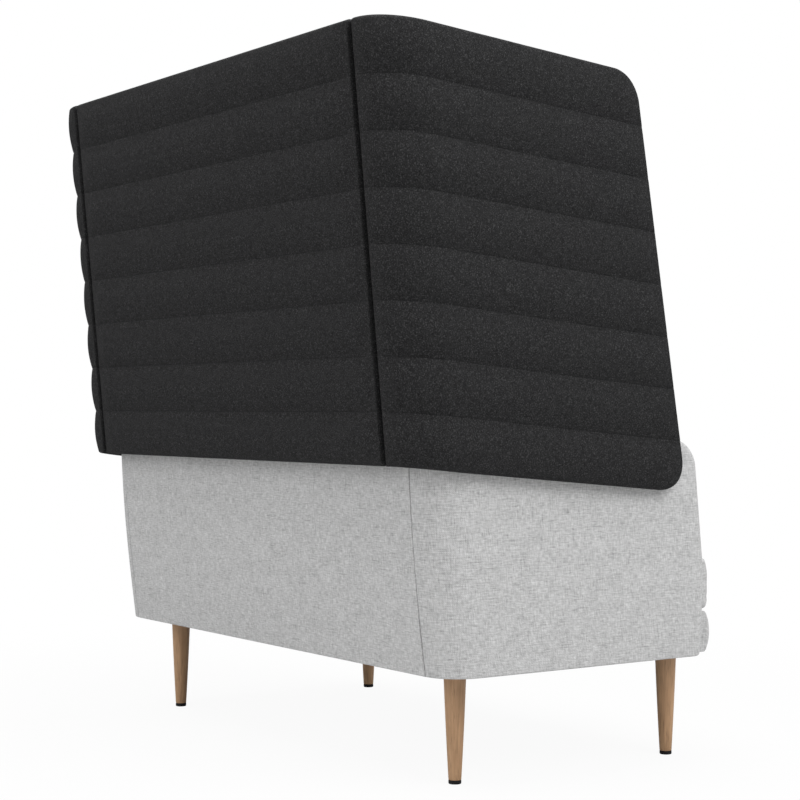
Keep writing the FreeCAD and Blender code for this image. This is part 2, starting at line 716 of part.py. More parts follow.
def trim_front(body, inset, *ends):
    """Cut a side screen's layer to its leaning front edge and round its corners."""
    foot, top = front_corner("foot", inset), front_corner("top", inset)
    steep = f"(({top[0]} - {foot[0]}) / ({top[1]} - {foot[1]}))"
    over = "screen_corner"
    ahead = "(-2 * screen_foot_length)"
    outline = [
        (f"{foot[0]} - {steep} * {over}", f"{foot[1]} - {over}"),
        (f"{top[0]} + {steep} * {over}", f"{top[1]} + {over}"),
        (ahead, f"{top[1]} + {over}"),
        (ahead, f"{foot[1]} - {over}"),
    ]
    cut_away(body, outline)
    for end in ends:
        round_corner(body, front_corner(end, inset), f"screen_{end}_nose - {inset}")


def side_screen_board():
    outer = "(screen_corner - pad_thickness)"
    inner = f"(screen_corner - {SCREEN_DEPTH})"
    plan = []
    for radius, angles in ((outer, CORNER_ANGLES), (inner, reversed(CORNER_ANGLES))):
        front = (f"{CORNER_X} + {radius}", "-screen_foot_length")
        turn = []
        for angle in angles:
            turn.append((f"{CORNER_X} + {radius} * sin({angle})", f"{radius} * cos({angle}) - screen_corner"))
        plan += turn + [front] if radius is outer else [front] + turn
    drop = f"-{SCREEN_FALL} * screen_foot_length"
    body = tip_back(prism("side_screen_plan", "XY", plan, drop, SCREEN_HEIGHT))
    foot = front_corner("foot", "pad_rim")
    top = front_corner("top", "pad_rim")
    corners = [(top[0], f"{top[1]} - pad_rim"), (foot[0], f"{foot[1]} + pad_rim")]
    outline = [("0", "pad_rim"), ("0", f"{SCREEN_HEIGHT} - pad_rim")] + corners
    side = tip_back(prism("side_screen_outline", "YZ", outline, CORNER_X, SCREEN_X))
    round_corner(side, corners[0], "screen_top_nose - pad_rim")
    round_corner(side, corners[1], "screen_foot_nose - pad_rim")
    result = doc.addObject("Part::Common", "side_screen_board")
    result.Base = body
    result.Tool = side
    return result


def side_screens():
    board = side_screen_board()
    both_sides("side_screen_board", board)
    padding = tip_back(wrap("side_screen_padding", padding_section))
    trim_front(padding, "0", "foot", "top")
    both_sides("side_screen_pad", cut("side_screen_pad", padding, board))
    lining = tip_back(wrap("side_screen_lining", lining_section))
    trim_front(lining, "lining_inset", "top")
    cut_foot(lining)
    both_sides("side_screen_lining", lining)


def screen_joints():
    front, top = f"-({SCREEN_DEPTH} + lining_thickness)", f"{SCREEN_HEIGHT} - seat_clearance"
    outline = rectangle(front, "seat_clearance", "-post_recess", top)
    inner, outer = f"{BACK_SCREEN_X} + seat_clearance", f"{CORNER_X} - seat_clearance"
    both_sides("screen_post", tip_back(prism("screen_post", "YZ", outline, inner, outer)))
    low = "(screen_foot + pad_rim + spacer_lift)"
    high = "(shell_top - shell_edge)"

    def board_face(level):
        run = f"({level} - screen_foot) * tan(screen_rake)"
        return f"({SCREEN_Y} + {run} - {SCREEN_DEPTH} / cos(screen_rake))"

    wedge = [
        (f"{back_face(low)} + seat_clearance", low),
        (f"{back_face(high)} + seat_clearance", high),
        (f"{board_face(high)} - seat_clearance", high),
        (f"{board_face(low)} - seat_clearance", low),
    ]
    node(prism("screen_spacer", "YZ", wedge, "-spacer_length / 2", "spacer_length / 2"), "screen_spacer")
    inner = "shell_width / 2 + seat_clearance"
    outer = f"{SCREEN_X} - {SCREEN_DEPTH} - seat_clearance"
    plates = []
    for index in range(2):
        run = f"(fixing_rear + {index} * fixing_pitch)"
        y = f"({SCREEN_Y} - {run})"
        z = f"(screen_foot - {run} * tan(channel_slope) + pad_rim + spacer_lift)"
        low_corner = (inner, f"{y} - fixing_width / 2", z)
        high_corner = (outer, f"{y} + fixing_width / 2", f"{z} + fixing_height")
        plates.append(box("fixing_plate", low_corner, high_corner))
    both_sides("screen_plates", group("screen_plates", plates))


seat_frame()
seat_deck()
legs()
side_shell()
back_shell()
front_pad()
seat_cushions()
back_cushions()
back_screen()
side_screens()
screen_joints()
doc.recompute()

faulty = [item.Name for item in doc.Objects if "Invalid" in item.State or "Error" in item.State]
faulty += [item.Label for item in nodes if item.Shape.isNull() or not item.Shape.isValid()]
if faulty:
    raise RuntimeError(f"failed objects: {faulty}")
os.makedirs("parts", exist_ok=True)
for item in nodes:
    item.Shape.exportStep(f"parts/{item.Label}.step")
print(f"{len(nodes)} sub-parts written")
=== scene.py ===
import json
import math

import bmesh
import bpy
import numpy as np
from mathutils import Matrix, Vector


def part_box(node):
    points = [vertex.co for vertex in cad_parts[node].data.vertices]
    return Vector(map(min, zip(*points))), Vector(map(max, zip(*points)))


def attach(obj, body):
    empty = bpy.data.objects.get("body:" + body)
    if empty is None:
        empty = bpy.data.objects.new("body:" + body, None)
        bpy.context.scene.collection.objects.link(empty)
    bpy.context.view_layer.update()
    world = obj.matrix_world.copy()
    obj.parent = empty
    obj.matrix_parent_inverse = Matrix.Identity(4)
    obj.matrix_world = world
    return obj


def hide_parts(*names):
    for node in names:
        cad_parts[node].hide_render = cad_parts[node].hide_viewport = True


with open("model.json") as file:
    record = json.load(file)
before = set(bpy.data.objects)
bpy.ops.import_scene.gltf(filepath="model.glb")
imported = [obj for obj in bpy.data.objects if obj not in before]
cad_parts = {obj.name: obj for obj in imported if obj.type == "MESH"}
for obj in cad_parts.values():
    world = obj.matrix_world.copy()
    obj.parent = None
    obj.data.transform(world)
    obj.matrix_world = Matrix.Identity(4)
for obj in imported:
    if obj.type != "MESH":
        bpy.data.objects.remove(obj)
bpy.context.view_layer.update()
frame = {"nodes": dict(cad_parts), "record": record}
mm = 0.001
rowPitch = 99 * mm
print("frame loaded:", len(frame["nodes"]), "nodes")


# shader maths on sockets

class Wire:
    def __init__(self, finish, socket):
        self.finish = finish
        self.socket = socket

    def math(self, operation, *values):
        return self.finish.node("ShaderNodeMath", {"operation": operation}, dict(enumerate(values)))

    def __add__(self, other):
        return self.math("ADD", self, other)

    def __radd__(self, other):
        return self.math("ADD", other, self)

    def __sub__(self, other):
        return self.math("SUBTRACT", self, other)

    def __rsub__(self, other):
        return self.math("SUBTRACT", other, self)

    def __mul__(self, other):
        return self.math("MULTIPLY", self, other)

    def sine(self):
        return self.math("SINE", self)

    def fract(self):
        return self.math("FRACT", self)


class Finish:
    def __init__(self, name, constants):
        self.material = bpy.data.materials.new(name)
        self.material.use_nodes = True
        self.tree = self.material.node_tree
        self.shader = self.tree.nodes["Principled BSDF"]
        for socketName, value in constants.items():
            self.shader.inputs[socketName].default_value = value

    def node(self, kind, settings, sockets, out=0):
        made = self.tree.nodes.new(kind)
        for key, value in settings.items():
            if key == "stops":
                self.setStops(made.color_ramp, value)
            else:
                setattr(made, key, value)
        for key, value in sockets.items():
            if isinstance(value, Wire):
                self.tree.links.new(value.socket, made.inputs[key])
            else:
                made.inputs[key].default_value = value
        return Wire(self, made.outputs[out])

    def setStops(self, ramp, stops):
        while len(ramp.elements) < len(stops):
            ramp.elements.new(1.0)
        for element, (place, level) in zip(ramp.elements, stops):
            element.position = place
            element.color = (level, level, level, 1.0)

    def clothPlace(self):
        return self.node("ShaderNodeUVMap", {"uv_map": "cloth"}, {})

    def place(self):
        return self.node("ShaderNodeTexCoord", {}, {}, out=3)

    def stretched(self, place, scale, shift=(0, 0, 0)):
        return self.node("ShaderNodeMapping", {}, {"Vector": place, "Scale": scale, "Location": shift})

    def noise(self, place, scale, detail=2.0, rough=0.5, warp=0.0):
        sockets = {"Vector": place, "Scale": scale, "Detail": detail, "Roughness": rough, "Distortion": warp}
        return self.node("ShaderNodeTexNoise", {"noise_dimensions": "3D"}, sockets)

    def ramp(self, value, stops):
        return self.node("ShaderNodeValToRGB", {"stops": stops}, {"Fac": value})

    def blend(self, share, first, second):
        return self.node("ShaderNodeMix", {"data_type": "RGBA"}, {0: share, 6: first, 7: second}, out=2)

    def clamped(self, value):
        return self.node("ShaderNodeClamp", {}, {"Value": value})

    def acrossAlong(self, place):
        made = self.node("ShaderNodeSeparateXYZ", {}, {"Vector": place})
        return made, Wire(self, made.socket.node.outputs[1])

    def use(self, socketName, wire):
        self.tree.links.new(wire.socket, self.shader.inputs[socketName])

    def colour(self, share, first, second):
        self.use("Base Color", self.blend(share, first, second))

    def bump(self, height, strength, depth, under=None):
        sockets = {"Height": height, "Strength": strength, "Distance": depth}
        if under is not None:
            sockets["Normal"] = under
        made = self.node("ShaderNodeBump", {}, sockets)
        self.use("Normal", made)
        return made


# finishes

greyWeaveLook = {
    "light": (0.662, 0.662, 0.662, 1.0),
    "dark": (0.26, 0.26, 0.26, 1.0),
    "yarn": 2.5 * mm,
    "streak": 13 * mm,
    "mottle": 34 * mm,
    "slub": (3.0 * mm, 48 * mm),
    "thread": 1.7 * mm,
}


def greyWeave():
    look = greyWeaveLook
    finish = Finish("greyWeave", {"Roughness": 0.93, "Specular IOR Level": 0.25, "Sheen Weight": 0.05})
    place = finish.clothPlace()
    thin, long = 1 / look["yarn"], 1 / look["streak"]
    weft = finish.noise(finish.stretched(place, (long, thin, 1)), 1.0, 2.0, 0.6)
    warp = finish.noise(finish.stretched(place, (thin, long, 1), (5.3, 2.1, 0)), 1.0, 2.0, 0.6)
    mottle = finish.noise(place, 1 / look["mottle"], 3.0, 0.65)
    fine, drawn = (1 / size for size in look["slub"])  # thicker dark yarns, here and there
    slubs = finish.noise(finish.stretched(place, (drawn, fine, 1), (2.7, 8.4, 0)), 1.0, 1.0, 0.5)
    slubs = finish.ramp(slubs, ((0.0, 1.0), (0.3, 0.6), (0.42, 0.0)))
    uprights = finish.noise(finish.stretched(place, (fine, drawn, 1), (7.1, 1.9, 0)), 1.0, 1.0, 0.5)
    slubs = slubs + finish.ramp(uprights, ((0.0, 1.0), (0.28, 0.6), (0.4, 0.0)))
    across, along = finish.acrossAlong(finish.stretched(place, (math.pi / look["thread"],) * 3))
    crossing = across.sine() * along.sine()
    tone = 0.6 + (weft - 0.5) * 1.15 + (warp - 0.5) * 1.05 + (mottle - 0.5) * 0.45
    tone = finish.clamped(tone + crossing * 0.05 - slubs * 0.33)
    finish.colour(tone, look["dark"], look["light"])
    finish.bump(crossing * 0.45 + weft * 0.6 + warp * 0.6, 0.5, 0.6 * mm)
    return finish.material


charcoalFeltLook = {
    "base": (0.0105, 0.0105, 0.0108, 1.0),
    "lift": (0.0265, 0.0265, 0.0272, 1.0),
    "fleck": (0.115, 0.115, 0.117, 1.0),
    "fibre": 2.2 * mm,
    "cloud": 9 * mm,
    "plump": 5.6 * mm,
}


def charcoalFelt():
    look = charcoalFeltLook
    finish = Finish("charcoalFelt", {"Roughness": 0.95, "Specular IOR Level": 0.08})
    place = finish.place()
    fibre = finish.noise(place, 1 / look["fibre"], 2.0, 0.6, 0.6)
    cloud = finish.noise(place, 1 / look["cloud"], 3.0, 0.65)
    fleck = finish.noise(place, 0.95 / look["fibre"], 1.0, 0.5)
    tone = finish.clamped((fibre - 0.5) * 2.2 + (cloud - 0.5) * 1.3 + 0.5)
    body = finish.blend(tone, look["base"], look["lift"])
    spots = finish.ramp(fleck, ((0.0, 0.0), (0.54, 0.0), (0.74, 1.0)))
    finish.colour(spots * 0.4, body, look["fleck"])
    fuzz = finish.bump(fibre * 0.8 + cloud * 0.4, 0.6, 0.7 * mm)
    level = finish.acrossAlong(finish.clothPlace())[1]
    share = (level * (1 / rowPitch)).fract()
    finish.bump(share * (1 - share) * 4.0, 1.0, look["plump"], fuzz)  # soft stuffing rounds each row further
    return finish.material


def woodFinish(name, pale, deep, ring, grain, roughness, pores):
    finish = Finish(name, {})
    place = finish.place()
    fibres = finish.stretched(place, tuple(1 / g for g in grain))
    streak = finish.noise(fibres, 1.0, 4.0, 0.6, 0.3)
    broad = finish.stretched(place, tuple(1 / (g * ring) for g in grain), (3.1, 1.7, 0.4))
    rings = finish.noise(broad, 1.0, 2.0, 0.5, 1.2)
    fine = finish.stretched(place, tuple(2.6 / g for g in grain), (0.7, 9.2, 4.4))
    pore = finish.noise(fine, 1.0, 1.0, 0.5)
    dark = finish.ramp(pore, ((0.0, 0.0), (0.60, 0.0), (0.74, 1.0)))
    tone = finish.clamped((streak - 0.5) * 1.5 + (rings - 0.5) * 1.2 + 0.5)
    body = finish.blend(tone, deep, pale)
    finish.colour(dark * pores, body, tuple(c * 0.42 for c in deep[:3]) + (1.0,))
    finish.use("Roughness", streak * 0.18 + (roughness - 0.09))
    finish.bump(streak * 0.5 - dark * 0.6, 0.25, 0.3 * mm)
    return finish.material


def blackPlastic():
    finish = Finish("blackPlastic", {"Specular IOR Level": 0.15})
    grain = finish.noise(finish.place(), 2200, 2.0, 0.5)
    finish.colour(grain, (0.006, 0.006, 0.006, 1.0), (0.016, 0.016, 0.017, 1.0))
    finish.use("Roughness", grain * 0.2 + 0.6)
    finish.bump(grain, 0.2, 0.1 * mm)
    return finish.material


def zincSteel():
    finish = Finish("zincSteel", {"Metallic": 1.0})
    drawn = finish.noise(finish.stretched(finish.place(), (90, 1500, 1500)), 1.0, 3.0, 0.6)
    finish.colour(drawn, (0.42, 0.43, 0.44, 1.0), (0.68, 0.69, 0.70, 1.0))
    finish.use("Roughness", drawn * 0.25 + 0.3)
    return finish.material


def strapWeave():
    finish = Finish("strapWeave", {"Roughness": 0.85})
    turns = (2 * math.pi / (4 * mm), 2 * math.pi / (2.2 * mm), 1)
    across, along = finish.acrossAlong(finish.stretched(finish.clothPlace(), turns))
    ridge, stripe = along.sine(), across.sine()
    tone = finish.clamped(ridge * 0.25 + stripe * 0.2 + 0.5)
    finish.colour(tone, (0.05, 0.047, 0.042, 1.0), (0.2, 0.19, 0.165, 1.0))
    finish.bump(ridge * 0.5 + stripe * 0.5, 0.5, 0.4 * mm)
    return finish.material


def blackCloth():
    finish = Finish("blackCloth", {"Roughness": 0.9})
    place = finish.clothPlace()
    cells = {"Vector": place, "Scale": 650.0, "Randomness": 0.25}
    dimple = finish.node("ShaderNodeTexVoronoi", {"feature": "F1"}, cells)
    cloud = finish.noise(place, 60, 3.0, 0.6)
    tone = finish.clamped(dimple * 0.9 + (cloud - 0.5) * 0.5)
    finish.colour(tone, (0.008, 0.008, 0.009, 1.0), (0.03, 0.03, 0.032, 1.0))
    finish.bump(dimple, 0.4, 0.3 * mm)
    return finish.material


def threadFinish():
    finish = Finish("charcoalThread", {"Roughness": 0.85, "Specular IOR Level": 0.1})
    twist = finish.noise(finish.place(), 1800, 2.0, 0.5)
    finish.colour(twist, (0.005, 0.005, 0.0052, 1.0), (0.014, 0.014, 0.0144, 1.0))
    return finish.material


woodLooks = {
    "turnedOak": {
        "pale": (0.52, 0.315, 0.172, 1.0), "deep": (0.32, 0.183, 0.092, 1.0), "ring": 3.0,
        "grain": (4.0 * mm, 4.0 * mm, 90 * mm), "roughness": 0.55, "pores": 0.55,
    },
    "sawnBeech": {
        "pale": (0.62, 0.43, 0.26, 1.0), "deep": (0.45, 0.29, 0.16, 1.0), "ring": 4.0,
        "grain": (120 * mm, 5 * mm, 5 * mm), "roughness": 0.7, "pores": 0.25,
    },
    "sandedPlywood": {
        "pale": (0.66, 0.49, 0.30, 1.0), "deep": (0.50, 0.35, 0.20, 1.0), "ring": 5.0,
        "grain": (9 * mm, 9 * mm, 140 * mm), "roughness": 0.65, "pores": 0.2,
    },
    # painted shade: near-black timber for frame parts that show only in shadowed slots
    "paintedShadeTimber": {
        "pale": (0.03, 0.029, 0.028, 1.0), "deep": (0.014, 0.0135, 0.013, 1.0), "ring": 4.0,
        "grain": (120 * mm, 5 * mm, 5 * mm), "roughness": 0.75, "pores": 0.3,
    },
}
weave = greyWeave()
felt = charcoalFelt()
oak, beech, plywood, paintedShadeWood = (woodFinish(name, **look) for name, look in woodLooks.items())
plastic = blackPlastic()
steel = zincSteel()
strapCloth = strapWeave()
cloth = blackCloth()
thread = threadFinish()
slotFinish = {
    "timber": beech, "plywood": plywood, "oak": oak, "grey_weave": weave, "charcoal_felt": felt,
    "black_plastic": plastic, "zinc_steel": steel, "webbing": strapCloth, "black_cloth": cloth,
}


def paint(mesh, material):
    mesh.materials.clear()
    mesh.materials.append(material)


for part in frame["record"]["subparts"]:
    paint(frame["nodes"][part["node"]].data, slotFinish[part["material_slot"]])
paintedShadeNodes = ("screen_spacer", "back_screen_board", "side_screen_board_left", "side_screen_board_right",
                "front_rail", "side_rail_left", "side_rail_right")
for node in paintedShadeNodes:
    paint(frame["nodes"][node].data, paintedShadeWood)  # painted shade: near-black timber, seen only through narrow slots, stands in for the shade in them
print("finishes made for", len(slotFinish), "slots")


# mesh helpers

def linked(name, data):
    made = bpy.data.objects.new(name, data)
    bpy.context.scene.collection.objects.link(made)
    return made


def readVectors(items, key):
    flat = np.empty(len(items) * 3)
    items.foreach_get(key, flat)
    return flat.reshape(-1, 3)


def vertexPlaces(mesh):
    return readVectors(mesh.vertices, "co")


def moveVertices(piece, points):
    piece.data.vertices.foreach_set("co", points.ravel())
    piece.data.update()


def faceCorners(mesh):
    corners = np.empty(len(mesh.loops), np.int32)
    mesh.loops.foreach_get("vertex_index", corners)
    return corners


def setCloth(mesh, places):
    # cloth map in metres, one place for each corner of each face
    layer = mesh.uv_layers.new(name="cloth")
    layer.data.foreach_set("uv", places.astype(np.float32).ravel())


def shadeSmooth(mesh):
    mesh.polygons.foreach_set("use_smooth", [True] * len(mesh.polygons))


def bake(piece):
    # keeps what the modifiers make as the piece's own mesh
    evaluated = piece.evaluated_get(bpy.context.evaluated_depsgraph_get())
    piece.data = bpy.data.meshes.new_from_object(evaluated)
    piece.modifiers.clear()


def newPiece(name, points, faces, material, clothUv=None):
    mesh = bpy.data.meshes.new(name)
    mesh.from_pydata([tuple(p) for p in points], [], [tuple(f) for f in faces])
    mesh.materials.append(material)
    if clothUv is not None:
        setCloth(mesh, np.asarray(clothUv)[faceCorners(mesh)])
    mesh.validate()
    shadeSmooth(mesh)
    mesh.update()
    return linked(name, mesh)


def faceOutward(piece):
    shape = bmesh.new()
    shape.from_mesh(piece.data)
    bmesh.ops.recalc_face_normals(shape, faces=shape.faces)
    shape.to_mesh(piece.data)
    shape.free()
    piece.data.update()


def gridQuads(order):
    return np.stack([order[:-1, :-1], order[1:, :-1], order[1:, 1:], order[:-1, 1:]], -1).reshape(-1, 4)


def paddedGrid(name, outer, inner, clothUv, material):
    # two grids of points that meet along their whole border, closed into one pad
    columns, rows = outer.shape[:2]
    order = np.arange(columns * rows).reshape(columns, rows)
    innerOrder = order.copy()
    innerOrder[1:-1, 1:-1] += columns * rows
    quads = np.concatenate([gridQuads(order), gridQuads(innerOrder)[:, ::-1]])
    used, remap = np.unique(quads, return_inverse=True)
    points = np.concatenate([outer.reshape(-1, 3), inner.reshape(-1, 3)])[used]
    places = np.concatenate([clothUv.reshape(-1, 2), clothUv.reshape(-1, 2)])[used]
    faces = remap.reshape(-1, 4)
    piece = newPiece(name, points, faces, material, places)
    faceOutward(piece)
    return piece


def clothMap(face):
    # lengths along the cloth both ways, so that the weave keeps its size round the edges
    across, up = np.zeros(face.shape[:2]), np.zeros(face.shape[:2])
    across[1:] = np.cumsum(np.linalg.norm(np.diff(face, axis=0), axis=-1), axis=0)
    up[:, 1:] = np.cumsum(np.linalg.norm(np.diff(face, axis=1), axis=-1), axis=1)
    return np.stack([across, up], -1)


def edgeRoll(distance, radius, power=2.0):
    inside = 1 - np.clip(distance / radius, 0, 1)
    return np.clip(1 - inside ** power, 0, 1) ** (1 / power)


def cornerDistance(first, second, radius):
    # distance to two edges that meet in a rounded corner
    over = np.hypot(np.maximum(radius - first, 0), np.maximum(radius - second, 0))
    return np.where((first < radius) & (second < radius), radius - over, np.minimum(first, second))


def fade(distance, reach):
    # smooth rise from 0 at an edge to 1 at the reach
    share = np.clip(distance / reach, 0, 1)
    return share * share * (3 - 2 * share)


def noseInset(distance, radius):
    # how far a rounded corner draws the edge in at this distance from the other edge
    short = np.clip(radius - distance, 0, radius)
    return radius - np.sqrt(np.maximum(radius ** 2 - short ** 2, 0))


def ripple(u, v, seed, count, wave):
    # a sum of fixed sine waves, about -1 to 1, that stands in for uneven stuffing
    rng = np.random.default_rng(seed)
    total = np.zeros(np.broadcast(u, v).shape)
    for index in range(count):
        turn, phase = rng.uniform(0, 2 * math.pi, 2)
        size = wave * rng.uniform(0.6, 1.6)
        total = total + np.sin((u * math.cos(turn) + v * math.sin(turn)) * 2 * math.pi / size + phase)
    return total / math.sqrt(count)


def nearEdge(length, step, fine):
    # places from 0 to length, close together at both ends
    middle = np.linspace(fine[-1], length - fine[-1], max(2, int((length - 2 * fine[-1]) / step)))
    return np.unique(np.round(np.concatenate([fine, middle, length - np.asarray(fine)]), 7))


def spreadStations(stations, level):
    # one array for each value of the stations, spread over the levels
    return (np.array([value + 0 * level for value in values]) for values in zip(*stations))


def ringFaces(rings, size):
    # quads between closed rings of points, and a face on each end
    faces = []
    for ring in range(rings - 1):
        a, b = ring * size, (ring + 1) * size
        for index in range(size):
            after = (index + 1) % size
            faces.append((a + index, a + after, b + after, b + index))
    last = (rings - 1) * size
    return faces + [tuple(reversed(range(size))), tuple(range(last, last + size))]


def mirrorPiece(piece, name):
    mesh = piece.data.copy()
    mesh.transform(Matrix.Scale(-1, 4, Vector((1, 0, 0))))
    mesh.flip_normals()
    return linked(name, mesh)


def bothSides(left, rightName):
    return (left, "left"), (mirrorPiece(left, rightName), "right")


def declare(piece, body, slot, *nodes):
    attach(piece, body)
    if nodes:
        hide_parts(*nodes)


def declareSoft(piece, body, slot, fill, *nodes):
    declare(piece, body, slot, *nodes)


# channelled screens, in a frame tipped back with the back screen

screen = {
    "rake": math.radians(5.43),
    "slope": math.radians(10.58),
    "y": 342.84 * mm,
    "foot": 587 * mm,
    "pitch": rowPitch,
    "rows": 8,
    "crown": 6.0 * mm,
    "innerCrown": 5.0 * mm,
    "plumpRow": 0.05,
    "plumpAlong": 0.04,
    "pucker": 0.3 * mm,
    "puckerReach": 11 * mm,
    "stitchDip": 0.35 * mm,
    "stitchReach": 3.2 * mm,
    "halfBack": 564 * mm,
    "cornerX": 577 * mm,
    "corner": 99 * mm,
    "footLength": 627 * mm,
    "topLength": 573 * mm,
    "topNose": 55 * mm,
    "footNose": 66 * mm,
    "gapNose": 7 * mm,
    "depth": 34.3 * mm,
    "edgeDepth": 11 * mm,
    "boardFace": 22 * mm,
    "edgeRoll": 6.5 * mm,
    "gapRoll": 2.4 * mm,
    "outreach": 2.5 * mm,
    "rowFade": 46 * mm,
    "armTop": 636 * mm,
    "armRoom": 20 * mm,
    "slotFoot": 622 * mm,
    "liningRise": 8 * mm,
    "fill": 0.75,
}
screen["fall"] = math.tan(screen["slope"])
screen["height"] = screen["pitch"] * screen["rows"]
fineEdge = np.array([0, 0.25, 0.8, 1.6, 2.8, 4.3, 6.2, 8.5, 11.2, 14.5]) * mm
rowShares = np.array([0, 0.008, 0.024, 0.055, 0.1, 0.16, 0.23, 0.31, 0.4, 0.5])
rowShares = np.concatenate([rowShares, 1 - rowShares[-2:0:-1]])


def screenRows():
    pitch, height = screen["pitch"], screen["height"]
    levels = np.concatenate([(row + rowShares) * pitch for row in range(screen["rows"])] + [[height]])
    return np.unique(np.round(np.concatenate([levels, fineEdge, height - fineEdge]), 6))


def tipBack(x, y, w):
    rake = screen["rake"]
    worldY = screen["y"] + y * math.cos(rake) + w * math.sin(rake)
    worldZ = screen["foot"] - y * math.sin(rake) + w * math.cos(rake)
    return np.stack(np.broadcast_arrays(x, worldY, worldZ), -1)


def lifted(level):
    # the top row stands a little taller than the sewn pitch
    return level + screen["outreach"] * fade(level - screen["height"] + screen["pitch"], screen["pitch"])


def screenOffsets(path, level, edge, gap, ends, over, seed):
    # outer and inner faces of a screen, as distances from its outer sewn lines
    # edge, gap: way to the free edges and to the upright recess; ends: way to where the rows end;
    # over: height above the lining's foot
    share = (level / screen["pitch"]) % 1.0
    seamWay = np.minimum(share, 1 - share) * screen["pitch"]
    row = np.floor(level / screen["pitch"] - 1e-6)
    arc = 1 - (2 * share - 1) ** 2
    arc = np.where((level < 1e-6) | (level > screen["height"] - 1e-6), 0, arc)
    plump = 1 + screen["plumpRow"] * np.sin(row * 2.4 + seed)
    plump = plump + screen["plumpAlong"] * ripple(path, level * 0.4, seed, 5, 0.3)
    pucker = screen["pucker"] * ripple(path, row * 0.37, seed + 3, 4, 0.03)
    pucker = pucker * np.exp(-((seamWay / screen["puckerReach"]) ** 2))
    sewn = np.minimum(level, screen["height"] - level) > screen["pitch"] * 0.5
    dip = np.where(sewn, screen["stitchDip"] * np.exp(-((seamWay / screen["stitchReach"]) ** 2)), 0)
    roll = edgeRoll(edge, screen["edgeRoll"]) * edgeRoll(gap, screen["gapRoll"])
    swell = fade(ends, screen["rowFade"]) * edgeRoll(edge, screen["edgeRoll"])
    outer = screen["crown"] * arc * plump * swell - dip * roll + pucker * roll
    outer = -screen["edgeDepth"] * (1 - roll) + outer
    above = fade(over, screen["liningRise"])
    inner = screen["innerCrown"] * arc * plump * swell - dip * roll
    full = screen["depth"] - screen["edgeDepth"] + inner
    thin = screen["boardFace"] - screen["edgeDepth"]
    inner = -screen["edgeDepth"] - roll * (thin + (full - thin) * above)
    return outer, inner


seamLines = {"back": [], "left": []}


def keepSeams(name, level, outer, inner):
    # sewn lines of both faces, without their ends
    inside = slice(10, -9)
    for row in range(1, screen["rows"]):
        index = int(np.argmin(np.abs(level - row * screen["pitch"])))
        seamLines[name].append(outer[inside, index])
        if outer[inside, index, 2].min() > screen["armTop"] + screen["armRoom"]:
            seamLines[name].append(inner[inside, index])


def backScreen():
    level = screenRows()
    across = nearEdge(2 * screen["halfBack"], 12 * mm, fineEdge)
    path, level = np.meshgrid(across, level, indexing="ij")
    upright = np.minimum(level, screen["height"] - level)
    inset = noseInset(upright, screen["gapNose"])
    x = np.clip(path, inset, 2 * screen["halfBack"] - inset)
    sideways = np.minimum(x, 2 * screen["halfBack"] - x)
    gap = np.maximum(cornerDistance(upright, sideways, screen["gapNose"]), 0)
    over = tipBack(0 * x, 0 * x, level)[..., 2] - screen["slotFoot"]
    outer, inner = screenOffsets(path, level, upright, gap, sideways, over, 1)
    x = x - screen["halfBack"]
    uv = np.stack([path, level], -1)
    faces = [tipBack(x, offset, lifted(level)) for offset in (outer, inner)]
    keepSeams("back", level[0], *faces)
    return paddedGrid("backScreen", *faces, uv, felt)


def sideScreen():
    level = screenRows()
    corner, height = screen["corner"], screen["height"]
    turn = np.concatenate([fineEdge, np.linspace(fineEdge[-1], corner * math.pi / 2, 22)[1:]])
    topWay, footWay = height - level, level
    frontLine = screen["footLength"] + (screen["topLength"] - screen["footLength"]) * level / height
    slant = math.cos(screen["slope"])
    inset = noseInset(topWay * slant, screen["topNose"]) + noseInset(footWay * slant, screen["footNose"])
    reach = frontLine - inset
    straight = reach - corner - fineEdge[-1]
    steps = [straight * share for share in np.linspace(0, 1, 46)[1:]]
    steps += [reach - corner - way for way in fineEdge[::-1][1:]]
    stations = [(place / corner, 0, frontLine - corner * (1 - np.cos(place / corner))) for place in turn]
    stations += [(math.pi / 2, step, frontLine - corner - step) for step in steps]
    angle, forward, front = spreadStations(stations, level)
    level = np.broadcast_to(level, angle.shape)
    arcWay = corner * angle + forward
    sewnY = -corner * (1 - np.cos(angle)) - forward
    edge = np.minimum(
        cornerDistance(topWay * slant, front, screen["topNose"]),
        cornerDistance(footWay * slant, front, screen["footNose"]),
    )
    edge = np.maximum(edge, 0)
    upright = np.minimum(topWay, footWay)
    gapInset = noseInset(upright, screen["gapNose"])
    pulled = np.maximum(arcWay, gapInset)
    gap = np.maximum(cornerDistance(upright + 0 * arcWay, pulled, screen["gapNose"]), 0)
    angle = np.where(arcWay < gapInset, gapInset / corner, angle)
    w = lifted(level) + screen["fall"] * sewnY
    over = tipBack(0 * w, sewnY, w)[..., 2] - screen["armTop"]
    outer, inner = screenOffsets(arcWay, level, edge, gap, np.minimum(front, arcWay), over, 2)
    faces = []
    for offset in (outer, inner):
        x = screen["cornerX"] + (corner + offset) * np.sin(angle)
        y = -corner + (corner + offset) * np.cos(angle) - forward
        faces.append(tipBack(x, y, w))
    uv = np.stack([arcWay, level], -1)
    keepSeams("left", level[0], *faces)
    return paddedGrid("sideScreenLeft", *faces, uv, felt)


declareSoft(backScreen(), "sofa", "charcoal_felt", screen["fill"], "back_screen_pad", "back_screen_lining")
for piece, side in bothSides(sideScreen(), "sideScreenRight"):
    nodes = f"side_screen_pad_{side}", f"side_screen_lining_{side}"
    declareSoft(piece, "sofa", "charcoal_felt", screen["fill"], *nodes)
print("screens made")


# padded tub: back and two sides, sewn together at the rear corners

